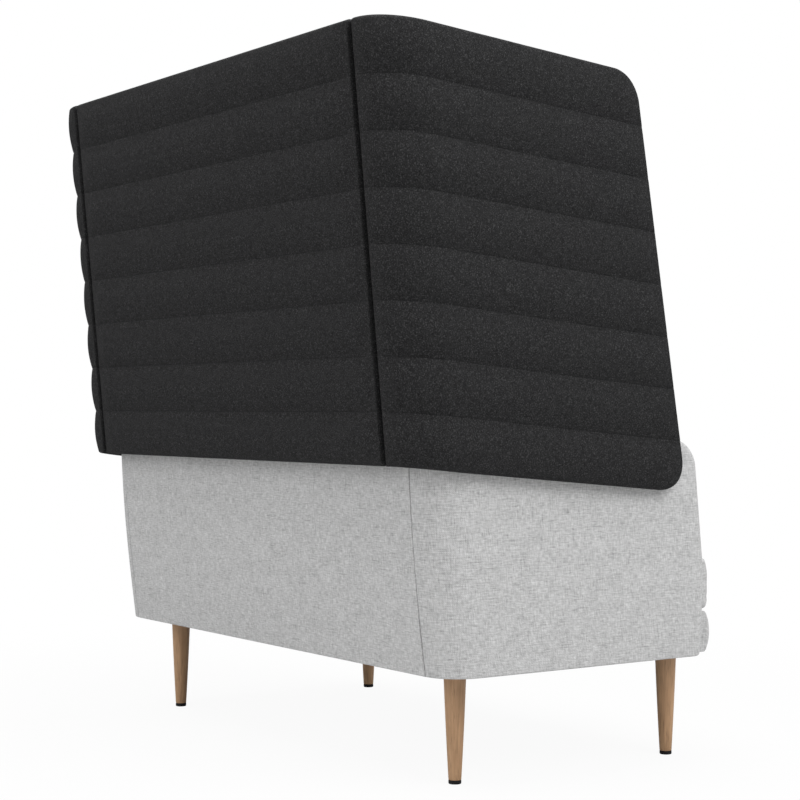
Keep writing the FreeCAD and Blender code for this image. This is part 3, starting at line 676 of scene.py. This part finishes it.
tub = {
    "foot": 206.5 * mm,
    "top": 634 * mm,
    "footHalf": 644 * mm,
    "topHalf": 649.5 * mm,
    "seam": 575 * mm,
    "back": 292.84 * mm,
    "bowIn": 38 * mm,
    "bowHeight": 560 * mm,
    "turn": 71 * mm,
    "armFront": -342.7 * mm,
    "armLean": 47.3 * mm,
    "armKnee": 395 * mm,
    "armTuck": 26 * mm,
    "armCurve": 1.3,
    "wall": 45 * mm,
    "roll": 20 * mm,
    "nose": 55 * mm,
    "toe": 10 * mm,
    "footRoll": 3 * mm,
    "seamRoll": 1.6 * mm,
    "uneven": 0.6 * mm,
    "tuck": 0.15 * mm,
    "tuckReach": 22 * mm,
    "fill": 0.9,
}


def tubHalf(z):
    widening = (tub["topHalf"] - tub["footHalf"]) * (z - tub["foot"])
    return tub["footHalf"] + widening / (tub["top"] - tub["foot"])


def tubBack(z):
    full = tub["bowHeight"] - (tub["top"] - tub["foot"])
    bow = ((tub["bowHeight"] + tub["foot"] - z) ** 2 - full ** 2) / (tub["bowHeight"] ** 2 - full ** 2)
    return tub["back"] - tub["bowIn"] * bow


def armFront(z):
    # leans forward down to the seat, then runs nearly upright
    lean = tub["armLean"] * (tub["top"] - z) / (tub["top"] - tub["foot"])
    below = np.maximum(tub["armKnee"] - z, 0) / (tub["armKnee"] - tub["foot"])
    return tub["armFront"] - lean + tub["armTuck"] * below ** tub["armCurve"]


def tubOffsets(path, z, edge, seamWay, seed):
    roll = edgeRoll(edge, tub["roll"]) * edgeRoll(z - tub["foot"], tub["footRoll"], 3.0)
    roll = roll * edgeRoll(seamWay, tub["seamRoll"])
    uneven = tub["uneven"] * ripple(path, z, seed, 6, 0.35) * roll
    tuck = tub["tuck"] * ripple(path, 0 * z, seed + 1, 5, 0.09)
    tuck = tuck * np.exp(-(z - tub["foot"]) / tub["tuckReach"]) * roll
    half = tub["wall"] / 2
    return -half + half * roll + uneven + tuck, -half - half * roll


def tubLevels():
    fine = np.array([0, 0.3, 1, 2, 3.5, 5.5, 8, 11, 14.5, 18.5, 23]) * mm
    return tub["foot"] + nearEdge(tub["top"] - tub["foot"], 12 * mm, fine)


seamFine = np.array([0, 0.12, 0.35, 0.7, 1.15, 1.6, 2.4, 4, 7, 12]) * mm


def tubBackWall():
    across = nearEdge(2 * tub["seam"], 16 * mm, seamFine)
    path, z = np.meshgrid(across, tubLevels(), indexing="ij")
    seamWay = np.minimum(path, 2 * tub["seam"] - path)
    outer, inner = tubOffsets(path, z, tub["top"] - z, seamWay, 11)
    x = path - tub["seam"]
    faces = [np.stack([x, tubBack(z) + offset, z], -1) for offset in (outer, inner)]
    return paddedGrid("tubBack", *faces, clothMap(faces[0]), weave)


def tubSideWall():
    z = tubLevels()
    radius = tubHalf(z) - tub["seam"]
    topWay, footWay = tub["top"] - z, z - tub["foot"]
    front = tubBack(z) - radius - armFront(z)  # straight run of the side
    inset = noseInset(topWay, tub["nose"]) + noseInset(footWay, tub["toe"])
    fine = np.array([0, 0.4, 1.2, 2.4, 4, 6, 8.5, 11.5, 15, 19, 24]) * mm
    quarter = math.pi / 2
    turn = np.concatenate([seamFine, np.linspace(seamFine[-1], tub["turn"] * quarter, 18)[1:]])
    steps = [(front - inset - fine[-1]) * share for share in np.linspace(0, 1, 42)[1:]]
    steps += [front - inset - way for way in fine[::-1][1:]]
    stations = [(place / tub["turn"], 0, place) for place in turn] + [(quarter, step, 1) for step in steps]
    angle, forward, seamWay = spreadStations(stations, z)
    level = np.broadcast_to(z, angle.shape)
    frontWay = np.where(angle < quarter - 1e-9, 1.0, front - forward)
    edge = cornerDistance(topWay + 0 * frontWay, frontWay, tub["nose"])
    edge = np.maximum(np.minimum(edge, frontWay - noseInset(footWay, tub["toe"])), 0)
    path = radius * angle + forward
    outer, inner = tubOffsets(path, level, edge, seamWay, 17)
    faces = []
    for offset in (outer, inner):
        x = tub["seam"] + (radius + offset) * np.sin(angle)
        y = tubBack(level) - radius + (radius + offset) * np.cos(angle) - forward
        faces.append(np.stack([x, y, level], -1))
    return paddedGrid("tubSideLeft", *faces, clothMap(faces[0]) + (2 * tub["seam"], 0), weave)


declareSoft(tubBackWall(), "sofa", "grey_weave", tub["fill"], "back_shell")
for piece, side in bothSides(tubSideWall(), "tubSideRight"):
    declareSoft(piece, "sofa", "grey_weave", tub["fill"], f"side_shell_{side}")
print("tub made")


# seat: cushions blown up by cloth simulation, rail padding, cloths

cushionLook = {
    "voxel": 7 * mm,
    "pressure": 4.0,
    "frames": 20,
    "cap": 10 * mm,
    "start": 5 * mm,
    "held": 4 * mm,
    "room": 0.2 * mm,
    "squareFrom": 0.8,
    "footRise": 60 * mm,
    "footTuck": 13 * mm,
    "bulge": 8 * mm,
    "bulgeHeight": 80 * mm,
    "bulgeReach": 26 * mm,
    "sideShare": 0.25,
    "seamDip": 1.6 * mm,
    "seamWidth": 4.5 * mm,
    "sideSeams": (0.2, 0.76),
    "backSeam": 34 * mm,
}
cushions = {
    "seat": {"lean": 0.0, "overhang": 9 * mm, "fill": 0.7},
    "back": {"lean": 0.0884, "overhang": 0.0, "fill": 0.65},
}


def boxUv(piece):
    # cloth map laid on from the side that each face looks to
    mesh = piece.data
    towards = np.abs(readVectors(mesh.polygons, "normal")).argmax(1)
    counts = np.empty(len(mesh.polygons), np.int32)
    mesh.polygons.foreach_get("loop_total", counts)
    axis = np.repeat(towards, counts)
    spots = vertexPlaces(mesh)[faceCorners(mesh)]
    u = np.where(axis == 0, spots[:, 1], spots[:, 0])
    v = np.where(axis == 2, spots[:, 1], spots[:, 2])
    setCloth(mesh, np.stack([u, v], -1))


def remeshed(node, name, voxel):
    # a closed, even mesh of a soft node, as a new object
    shape = bmesh.new()
    shape.from_mesh(frame["nodes"][node].data)
    bmesh.ops.remove_doubles(shape, verts=shape.verts, dist=1e-6)
    mesh = bpy.data.meshes.new(name)
    shape.to_mesh(mesh)
    shape.free()
    piece = linked(name, mesh)
    remesh = piece.modifiers.new("remesh", "REMESH")
    remesh.mode, remesh.voxel_size = "VOXEL", voxel
    bake(piece)
    return piece


def blownUp(piece, pinned):
    # pressure swells the cover; what it rests on stays flat
    look = cushionLook
    start = vertexPlaces(piece.data)
    held = piece.vertex_groups.new(name="held")
    held.add([int(i) for i in np.nonzero(pinned(start))[0]], 1.0, "REPLACE")
    cover = piece.modifiers.new("cover", "CLOTH")
    settings = cover.settings
    settings.quality = 4
    settings.mass = 0.3
    settings.tension_stiffness = settings.compression_stiffness = 14
    settings.shear_stiffness = 6
    settings.bending_stiffness = 0.6
    settings.vertex_group_mass = "held"
    settings.use_pressure = True
    settings.uniform_pressure_force = look["pressure"]
    settings.effector_weights.gravity = 0
    cover.collision_settings.use_collision = False
    cover.point_cache.frame_start, cover.point_cache.frame_end = 1, look["frames"]
    for step in range(1, look["frames"] + 1):
        bpy.context.scene.frame_set(step)
    evaluated = piece.evaluated_get(bpy.context.evaluated_depsgraph_get())
    moved = vertexPlaces(evaluated.to_mesh()) - start
    evaluated.to_mesh_clear()
    piece.modifiers.clear()
    piece.vertex_groups.clear()
    bpy.context.scene.frame_set(1)
    way = np.linalg.norm(moved, axis=1, keepdims=True)
    moved = moved * np.minimum(1, look["cap"] / np.maximum(way, 1e-9))
    moveVertices(piece, start + moved)


def seamGroove(piece, across, level, axis):
    # sewn line where a panel of the cover meets the next, round the sides that don't look along the axis
    look = cushionLook
    points = vertexPlaces(piece.data)
    normals = readVectors(piece.data.vertices, "normal")
    dip = look["seamDip"] * np.exp(-(((across(points) - level) / look["seamWidth"]) ** 2))
    dip = dip * (1 - np.abs(normals[:, axis]))
    moveVertices(piece, points - normals * dip[:, None])


def fitInside(piece, low, high):
    # the swollen cover fills the room that the cushion has
    points = vertexPlaces(piece.data)
    have = points.min(0), points.max(0)
    moveVertices(piece, low + (points - have[0]) * (high - low) / (have[1] - have[0]))


def boxShares(points):
    # places from -1 to 1 in the box of the points, and the box
    low, high = points.min(0), points.max(0)
    return (points - (low + high) / 2) / ((high - low) / 2), low, high


def shapeSides(piece):
    # the cover turns in under the cushion's foot and stands out above its middle
    look = cushionLook
    points = vertexPlaces(piece.data)
    share, low = boxShares(points)[:2]
    height = points[:, 2] - low[2]
    pull = look["footTuck"] * (1 - edgeRoll(height, look["footRise"]))
    pull -= look["bulge"] * np.exp(-(((height - look["bulgeHeight"]) / look["bulgeReach"]) ** 2))
    points[:, :2] -= share[:, :2] * pull[:, None] * (look["sideShare"], 1.0)  # neighbours hold the sides in
    moveVertices(piece, points)


def squareCorners(piece):
    # stuffing fills the upright corners
    points = vertexPlaces(piece.data)
    share, low, high = boxShares(points)
    beyond = np.maximum(np.abs(share[:, :2]) - cushionLook["squareFrom"], 0).prod(1)
    points[:, :2] += np.sign(share[:, :2]) * beyond[:, None] * (high - low)[:2] / 2
    moveVertices(piece, np.clip(points, low, high))


def softCushion(node, name, lean, overhang):
    look = cushionLook
    low, high = (np.array(c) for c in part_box(node))
    piece = remeshed(node, name, look["voxel"])
    middle = (low + high) / 2
    shrink = 1 - 2 * look["start"] / (high - low)
    points = (vertexPlaces(piece.data) - middle) * shrink + middle
    moveVertices(piece, points)
    foot = points[:, 2].min()
    blownUp(piece, lambda p: p[:, 2] < foot + look["held"])
    fitInside(piece, low + look["room"] - (0, overhang, 0), high - look["room"])
    if lean:
        seamGroove(piece, lambda p: p[:, 1] - lean * (p[:, 2] - low[2]), low[1] + look["backSeam"], 1)
    else:
        squareCorners(piece)
        shapeSides(piece)
        for share in look["sideSeams"]:
            seamGroove(piece, lambda p: p[:, 2], low[2] + share * (high[2] - low[2]), 2)
    boxUv(piece)
    paint(piece.data, weave)
    shadeSmooth(piece.data)
    return piece


def smoothed(piece):
    finer = piece.modifiers.new("finer", "SUBSURF")
    finer.levels = finer.render_levels = 1


for word, look in cushions.items():
    kind = f"{word}_cushion"
    left = softCushion(f"{kind}_left", f"{word}CushionLeft", look["lean"], look["overhang"])
    for piece, side in bothSides(left, f"{word}CushionRight"):
        smoothed(piece)
        body = f"{kind}_{side}" if word == "seat" else "sofa"
        declareSoft(piece, body, "grey_weave", look["fill"], f"{kind}_{side}")
print("cushions made")


railPad = {
    "half": 602.9 * mm,
    "foot": 207.8 * mm,
    "top": 288 * mm,
    "front": -412.5 * mm,
    "depth": 17.5 * mm,
    "skin": 0.8 * mm,
    "corner": 9 * mm,
    "turn": 64 * mm,
    "crown": 10 * mm,
    "uneven": 0.05,
    "roll": 5 * mm,
    "crownRoll": 20 * mm,
    "tackRoll": 0.6 * mm,
    "endReach": 40 * mm,
    "seamShare": 0.6,
    "fill": 0.7,
}


def railPadding():
    # padding on the front of the rail; its cover turns round the rail's ends
    look = railPad
    fine = np.array([0, 0.3, 1, 2.2, 4, 6.5, 9.5]) * mm
    corner, quarter = look["corner"], math.pi / 2
    straight = 2 * (look["half"] - corner)
    turned = [(-1, -quarter, look["turn"] - d) for d in np.array((0, 0.2, 0.6, 2, 10, 20, 35, 50)) * mm]
    turned += [(-1, -a, 0.0) for a in np.linspace(quarter, 0, 9)]
    across = np.linspace(-1, 1, 90)[1:-1]
    mirrored = [(-end, -angle, way) for end, angle, way in reversed(turned)]
    stations = turned + [(x, 0.0, 0.0) for x in across] + mirrored
    middle, angle, turn = (np.array(c)[:, None] for c in zip(*stations))
    z = look["foot"] + nearEdge(look["top"] - look["foot"], 5 * mm, fine)[None, :]
    share = (z - look["foot"]) / (look["top"] - look["foot"])
    edge = np.minimum(z - look["foot"], look["top"] - z)
    roll = edgeRoll(edge, look["roll"]) * edgeRoll(look["turn"] - turn, look["tackRoll"])
    path = middle * straight / 2 + np.sign(middle) * (corner * np.abs(angle) + turn)
    ends = fade((1 - np.abs(middle)) * straight / 2, look["endReach"])
    uneven = 1 + look["uneven"] * ripple(path, z, 23, 5, 0.25)
    swell = look["crown"] * (1 - (2 * share - 1) ** 2) * uneven * (0.85 + 0.15 * ends)
    swell = swell * edgeRoll(edge, look["crownRoll"]) * np.cos(angle)
    depth = look["skin"] + (look["depth"] - look["skin"]) * (1 - fade(np.abs(angle), quarter))
    seam = depth * look["seamShare"]
    outer = -seam * (1 - roll) + swell
    inner = -seam - (depth - seam) * roll
    faces = []
    for offset in (outer, inner):
        x = middle * straight / 2 + (corner + offset) * np.sin(angle)
        y = look["front"] + corner - (corner + offset) * np.cos(angle) + turn
        faces.append(np.stack(np.broadcast_arrays(x, y, z + 0 * x), -1))
    return paddedGrid("railPadding", *faces, clothMap(faces[0]), weave)


declareSoft(railPadding(), "sofa", "grey_weave", railPad["fill"], "front_rail_pad")

clothStep = 25 * mm
dustLook = {"plate": 70 * mm, "room": 4 * mm, "sag": 2.0 * mm}


def clothSheet(name, node, xs, ys, keep, sag):
    # tacked cloth with a slight sag between its edges
    low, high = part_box(node)
    middle = (low.z + high.z) / 2
    x, y = np.meshgrid(xs, ys, indexing="ij")
    wide, deep = (np.sin(math.pi * (way - way.min()) / np.ptp(way)) for way in (x, y))
    points = np.stack([x, y, middle - sag * wide * deep], -1).reshape(-1, 3)
    quads = gridQuads(np.arange(x.size).reshape(x.shape))
    faces = [quad for quad in quads if keep(*points[quad, :2].mean(0))]
    piece = newPiece(name, points, faces, cloth, points[:, :2])
    loose = bmesh.new()
    loose.from_mesh(piece.data)
    bmesh.ops.delete(loose, geom=[v for v in loose.verts if not v.link_faces], context="VERTS")
    loose.to_mesh(piece.data)
    loose.free()
    thick = piece.modifiers.new("thick", "SOLIDIFY")
    thick.thickness, thick.offset = high.z - low.z, 0.0
    bake(piece)
    declare(piece, "sofa", "black_cloth", node)
    return piece


def spread(*stops):
    # even steps between the stops
    places = [stops[0]]
    for a, b in zip(stops, stops[1:]):
        count = max(1, round((b - a) / clothStep))
        places += [a + (b - a) * (i + 1) / count for i in range(count)]
    return places


def seatCloths():
    low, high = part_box("deck_cloth")
    xs, ys = spread(low.x, high.x), spread(low.y, high.y)
    deck = clothSheet("deckCloth", "deck_cloth", xs, ys, lambda x, y: True, 0.0)
    low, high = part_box("dust_cover")
    plateLow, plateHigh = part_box("leg_plates")
    plate, room = dustLook["plate"], dustLook["room"]
    notchX = plateHigh.x - plate - room
    front, rear = plateLow.y + plate + room, plateHigh.y - plate - room
    xs, ys = spread(low.x, -notchX, notchX, high.x), spread(low.y, front, rear, high.y)
    under = clothSheet("dustCover", "dust_cover", xs, ys,
                       lambda x, y: abs(x) < notchX or front < y < rear, dustLook["sag"])
    wide, deep = high.x - low.x, high.y - low.y
    notch = (high.x - notchX) * (front - low.y + high.y - rear) * 2
    wide * deep - notch


seatCloths()
print("rail padding and cloths made")


# geometry node trees for what repeats

def newTree(name, inputs):
    tree = bpy.data.node_groups.new(name, "GeometryNodeTree")
    tree.interface.new_socket("Geometry", in_out="INPUT", socket_type="NodeSocketGeometry")
    for label, kind in inputs.items():
        tree.interface.new_socket(label, in_out="INPUT", socket_type="NodeSocket" + kind)
    tree.interface.new_socket("Geometry", in_out="OUTPUT", socket_type="NodeSocketGeometry")
    return tree, tree.nodes.new("NodeGroupInput"), tree.nodes.new("NodeGroupOutput")


def newNodes(tree, *kinds):
    return [tree.nodes.new("GeometryNode" + kind) for kind in kinds]


def join(tree, *links):
    for start, output, stop, socket in links:
        tree.links.new(start.outputs[output], stop.inputs[socket])


def grown(piece, tree, values):
    # runs a tree on a piece and keeps the result as a plain mesh
    grow = piece.modifiers.new("grow", "NODES")
    grow.node_group = tree
    labels = {item.name: item.identifier for item in tree.interface.items_tree if item.in_out == "INPUT"}
    for label, value in values.items():
        grow[labels[label]] = value
    bake(piece)


def stitchTree():
    inputs = {"Pitch": "Float", "Length": "Float", "Thickness": "Float", "Thread": "Material"}
    tree, source, result = newTree("sewnStitches", inputs)
    curve, spots, ball = newNodes(tree, "MeshToCurve", "CurveToPoints", "MeshUVSphere")
    stitch, real, coat = newNodes(tree, "InstanceOnPoints", "RealizeInstances", "SetMaterial")
    scale = tree.nodes.new("ShaderNodeCombineXYZ")
    spots.mode = "LENGTH"
    for label, value in {"Segments": 6, "Rings": 4, "Radius": 0.5}.items():
        ball.inputs[label].default_value = value
    join(
        tree,
        (source, "Geometry", curve, "Mesh"),
        (curve, "Curve", spots, "Curve"),
        (source, "Pitch", spots, "Length"),
        (source, "Thickness", scale, "X"),
        (source, "Thickness", scale, "Y"),
        (source, "Length", scale, "Z"),
        (spots, "Points", stitch, "Points"),
        (ball, "Mesh", stitch, "Instance"),
        (spots, "Rotation", stitch, "Rotation"),
        (scale, "Vector", stitch, "Scale"),
        (stitch, "Instances", real, "Geometry"),
        (real, "Geometry", coat, "Geometry"),
        (source, "Thread", coat, "Material"),
        (coat, "Geometry", result, "Geometry"),
    )
    return tree


def repeatTree():
    tree, source, result = newTree("evenRow", {"Count": "Int", "Step": "Vector", "Finish": "Material"})
    line, copies = newNodes(tree, "MeshLine", "InstanceOnPoints")
    real, coat = newNodes(tree, "RealizeInstances", "SetMaterial")
    join(
        tree,
        (source, "Count", line, "Count"),
        (source, "Step", line, "Offset"),
        (line, "Mesh", copies, "Points"),
        (source, "Geometry", copies, "Instance"),
        (copies, "Instances", real, "Geometry"),
        (real, "Geometry", coat, "Geometry"),
        (source, "Finish", coat, "Material"),
        (coat, "Geometry", result, "Geometry"),
    )
    return tree


stitchLook = {"Pitch": 6.0 * mm, "Length": 4.4 * mm, "Thickness": 0.9 * mm}


def sewnLines(name, lines, tree):
    points, edges = [], []
    for line in lines:
        first = len(points)
        points += [tuple(p) for p in line]
        edges += [(first + i, first + i + 1) for i in range(len(line) - 1)]
    mesh = bpy.data.meshes.new(name)
    mesh.from_pydata(points, edges, [])
    piece = linked(name, mesh)
    grown(piece, tree, {**stitchLook, "Thread": thread})
    shadeSmooth(piece.data)
    return piece


stitches = stitchTree()
backStitches = sewnLines("backStitches", seamLines["back"], stitches)
leftStitches = sewnLines("leftStitches", seamLines["left"], stitches)
for piece in (backStitches, leftStitches, mirrorPiece(leftStitches, "rightStitches")):
    declare(piece, "sofa", "charcoal_felt")
print("stitches made")


straps = {"lengthwise": (8, (140 * mm, 0, 0)), "crosswise": (3, (0, 160 * mm, 0))}
strapLook = {"width": 60 * mm, "step": 40 * mm, "rib": 0.18 * mm, "ribs": 7, "skin": 0.2 * mm}


def strap(name, node, tree, count, step):
    # one ribbed strap, repeated by the tree
    look = strapLook
    low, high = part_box(node)
    alongY = step[0] > 0
    width, thick = look["width"], high.z - low.z
    length = (high.y - low.y) if alongY else (high.x - low.x)
    columns = np.linspace(0, length, max(2, int(length / look["step"])))
    profile = np.linspace(0, width, 25)
    rib = look["rib"] * np.sin(profile / width * 2 * math.pi * look["ribs"])
    upper = np.stack([profile, thick - look["skin"] + rib], -1)
    lower = np.stack([profile[::-1], look["skin"] + rib], -1)
    ring = np.concatenate([upper, lower])
    points, uv = [], []
    for column in columns:
        for side, up in ring:
            x, y = (low.x + side, low.y + column) if alongY else (low.x + column, low.y + side)
            points.append((x, y, low.z + up))
            uv.append((side, column))
    piece = newPiece(name, points, ringFaces(len(columns), len(ring)), strapCloth, uv)
    faceOutward(piece)
    grown(piece, tree, {"Count": count, "Step": step, "Finish": strapCloth})
    declare(piece, "sofa", "webbing", node)


evenRow = repeatTree()
for word, row in straps.items():
    strap(f"{word}Webbing", f"webbing_{word}", evenRow, *row)
print("webbing made")


# turned legs and glides

legLook = {"foot": 7.3 * mm, "top": 212 * mm, "footRadius": 12 * mm, "topRadius": 21.5 * mm, "edge": 1.2 * mm,
           "rim": 0.4 * mm, "belly": 0.5 * mm, "steps": 14, "segments": 56}
glideLook = {"radius": 12 * mm, "height": 7 * mm, "edge": 1.6 * mm, "rim": 0.8 * mm, "stem": 4 * mm,
             "stemTop": 29 * mm, "segments": 40}


def lathe(profile, centre, segments):
    # points and faces of a closed turned shape about an upright axis
    points = []
    for radius, height in profile:
        for index in range(segments):
            turn = 2 * math.pi * index / segments
            points.append((centre[0] + radius * math.cos(turn), centre[1] + radius * math.sin(turn), height))
    return points, ringFaces(len(profile), segments)


def roundEdge(radius, height, edge, upward):
    # a quarter round, from the flat end to the side, or back
    steps = [i * math.pi / 8 for i in range(5)]
    if upward:
        return [(radius - edge + edge * math.sin(a), height + edge - edge * math.cos(a)) for a in steps]
    return [(radius - edge + edge * math.cos(a), height - edge + edge * math.sin(a)) for a in steps]


def legSpots():
    low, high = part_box("legs")
    reach = legLook["topRadius"]
    xs, ys = (low.x + reach, high.x - reach), (low.y + reach, high.y - reach)
    return [(x, y) for y in ys for x in xs]


def makeLegs():
    look = legLook
    profile = roundEdge(look["footRadius"], look["foot"], look["edge"], True)
    rise = look["top"] - look["foot"]
    for share in [i / look["steps"] for i in range(1, look["steps"])]:
        radius = look["footRadius"] + (look["topRadius"] - look["footRadius"]) * share
        profile.append((radius + look["belly"] * math.sin(math.pi * share), look["foot"] + rise * share))
    profile += roundEdge(look["topRadius"], look["top"], look["rim"], False)
    points, faces = [], []
    for spot in legSpots():
        some, quads = lathe(profile, spot, look["segments"])
        faces += [tuple(i + len(points) for i in q) for q in quads]
        points += some
    piece = newPiece("turnedLegs", points, faces, oak)
    declare(piece, "sofa", "oak", "legs")


def makeGlides():
    look = glideLook
    profile = roundEdge(look["radius"], 0.0, look["edge"], True)
    profile += roundEdge(look["radius"], look["height"], look["rim"], False)
    profile += [(look["stem"], look["height"]), (look["stem"], look["stemTop"])]
    for end in ("front", "rear"):
        for side in ("left", "right"):
            node = f"glide_{end}_{side}"
            low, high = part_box(node)
            centre = (low.x + high.x) / 2, (low.y + high.y) / 2
            points, faces = lathe(profile, centre, look["segments"])
            piece = newPiece(f"{end}Glide{side.title()}", points, faces, plastic)
            declare(piece, node, "black_plastic", node)


makeLegs()
makeGlides()
print("legs and glides made")


# camera and stage

view = {"spot": (-3.311, 2.183, 0.6938), "ahead": (0.8252, -0.5648, 0.0039), "lens": 83.57, "sensor": 36.0}


def makeCamera():
    data = bpy.data.cameras.new("camera")
    data.lens, data.sensor_width = view["lens"], view["sensor"]
    camera = linked("camera", data)
    camera.location = view["spot"]
    camera.rotation_euler = Vector(view["ahead"]).to_track_quat("-Z", "Y").to_euler()
    bpy.context.scene.camera = camera


lamps = {
    "topLamp": {"spot": (0.0, 0.4, 4.6), "aim": (0, 0, 0.6), "size": 4.5, "power": 155.0},
    "keyLamp": {"spot": (-3.2, -0.7, 3.0), "aim": (0, 0, 1.0), "size": 2.8, "power": 86.0},
    "fillLamp": {"spot": (0.4, 4.8, 2.6), "aim": (0, 0, 0.6), "size": 3.5, "power": 74.0},
}
stage = {"sky": 0.45, "floor": 0.67, "reach": 40.0, "glow": 0.94, "near": 0.7, "far": 2.2}


def makeLamp(name, spot, aim, size, power):
    data = bpy.data.lights.new(name, "AREA")
    data.shape, data.size, data.energy = "DISK", size, power
    lamp = linked(name, data)
    lamp.location = spot
    lamp.rotation_euler = (Vector(aim) - Vector(spot)).to_track_quat("-Z", "Y").to_euler()


def palePaper():
    # pale floor that turns white with the distance, and keeps the shadow near the legs
    finish = Finish("palePaper", {"Roughness": 1.0, "Base Color": (stage["floor"],) * 3 + (1.0,)})
    way = finish.node("ShaderNodeVectorMath", {"operation": "LENGTH"}, {0: finish.place()}, out=1)
    limits = {"Value": way, "From Min": stage["near"], "From Max": stage["far"],
              "To Min": stage["glow"], "To Max": 1.0}
    white = finish.node("ShaderNodeMapRange", {"interpolation_type": "SMOOTHSTEP"}, limits)
    seen = finish.node("ShaderNodeLightPath", {}, {})
    glow = finish.node("ShaderNodeEmission", {}, {})
    body = Wire(finish, finish.shader.outputs[0])
    mixed = finish.node("ShaderNodeMixShader", {}, {0: white * seen, 1: body, 2: glow})
    finish.tree.links.new(mixed.socket, finish.tree.nodes["Material Output"].inputs["Surface"])
    return finish.material


def makeStage():
    scene = bpy.context.scene
    scene.view_settings.view_transform = "Standard"
    world = bpy.data.worlds.new("studio")
    scene.world = world
    world.use_nodes = True
    tree = world.node_tree
    backdrop = tree.nodes["Background"]
    sight = tree.nodes.new("ShaderNodeLightPath")
    lit = tree.nodes.new("ShaderNodeMath")
    lit.operation = "MULTIPLY_ADD"
    seen = tree.nodes.new("ShaderNodeMath")
    seen.operation = "MAXIMUM"
    join(
        tree,
        (sight, "Is Camera Ray", seen, 0),
        (sight, "Is Glossy Ray", seen, 1),
        (seen, 0, lit, 0),
        (lit, 0, backdrop, "Strength"),
    )
    lit.inputs[1].default_value = 1.0 - stage["sky"]
    lit.inputs[2].default_value = stage["sky"]
    backdrop.inputs["Color"].default_value = (1, 1, 1, 1)
    reach = stage["reach"]
    corners = [(-reach, -reach, 0), (reach, -reach, 0), (reach, reach, 0), (-reach, reach, 0)]
    floor = newPiece("floor", corners, [(0, 1, 2, 3)], palePaper())
    for name, look in lamps.items():
        makeLamp(name, **look)


makeCamera()
makeStage()
print("camera and stage made")
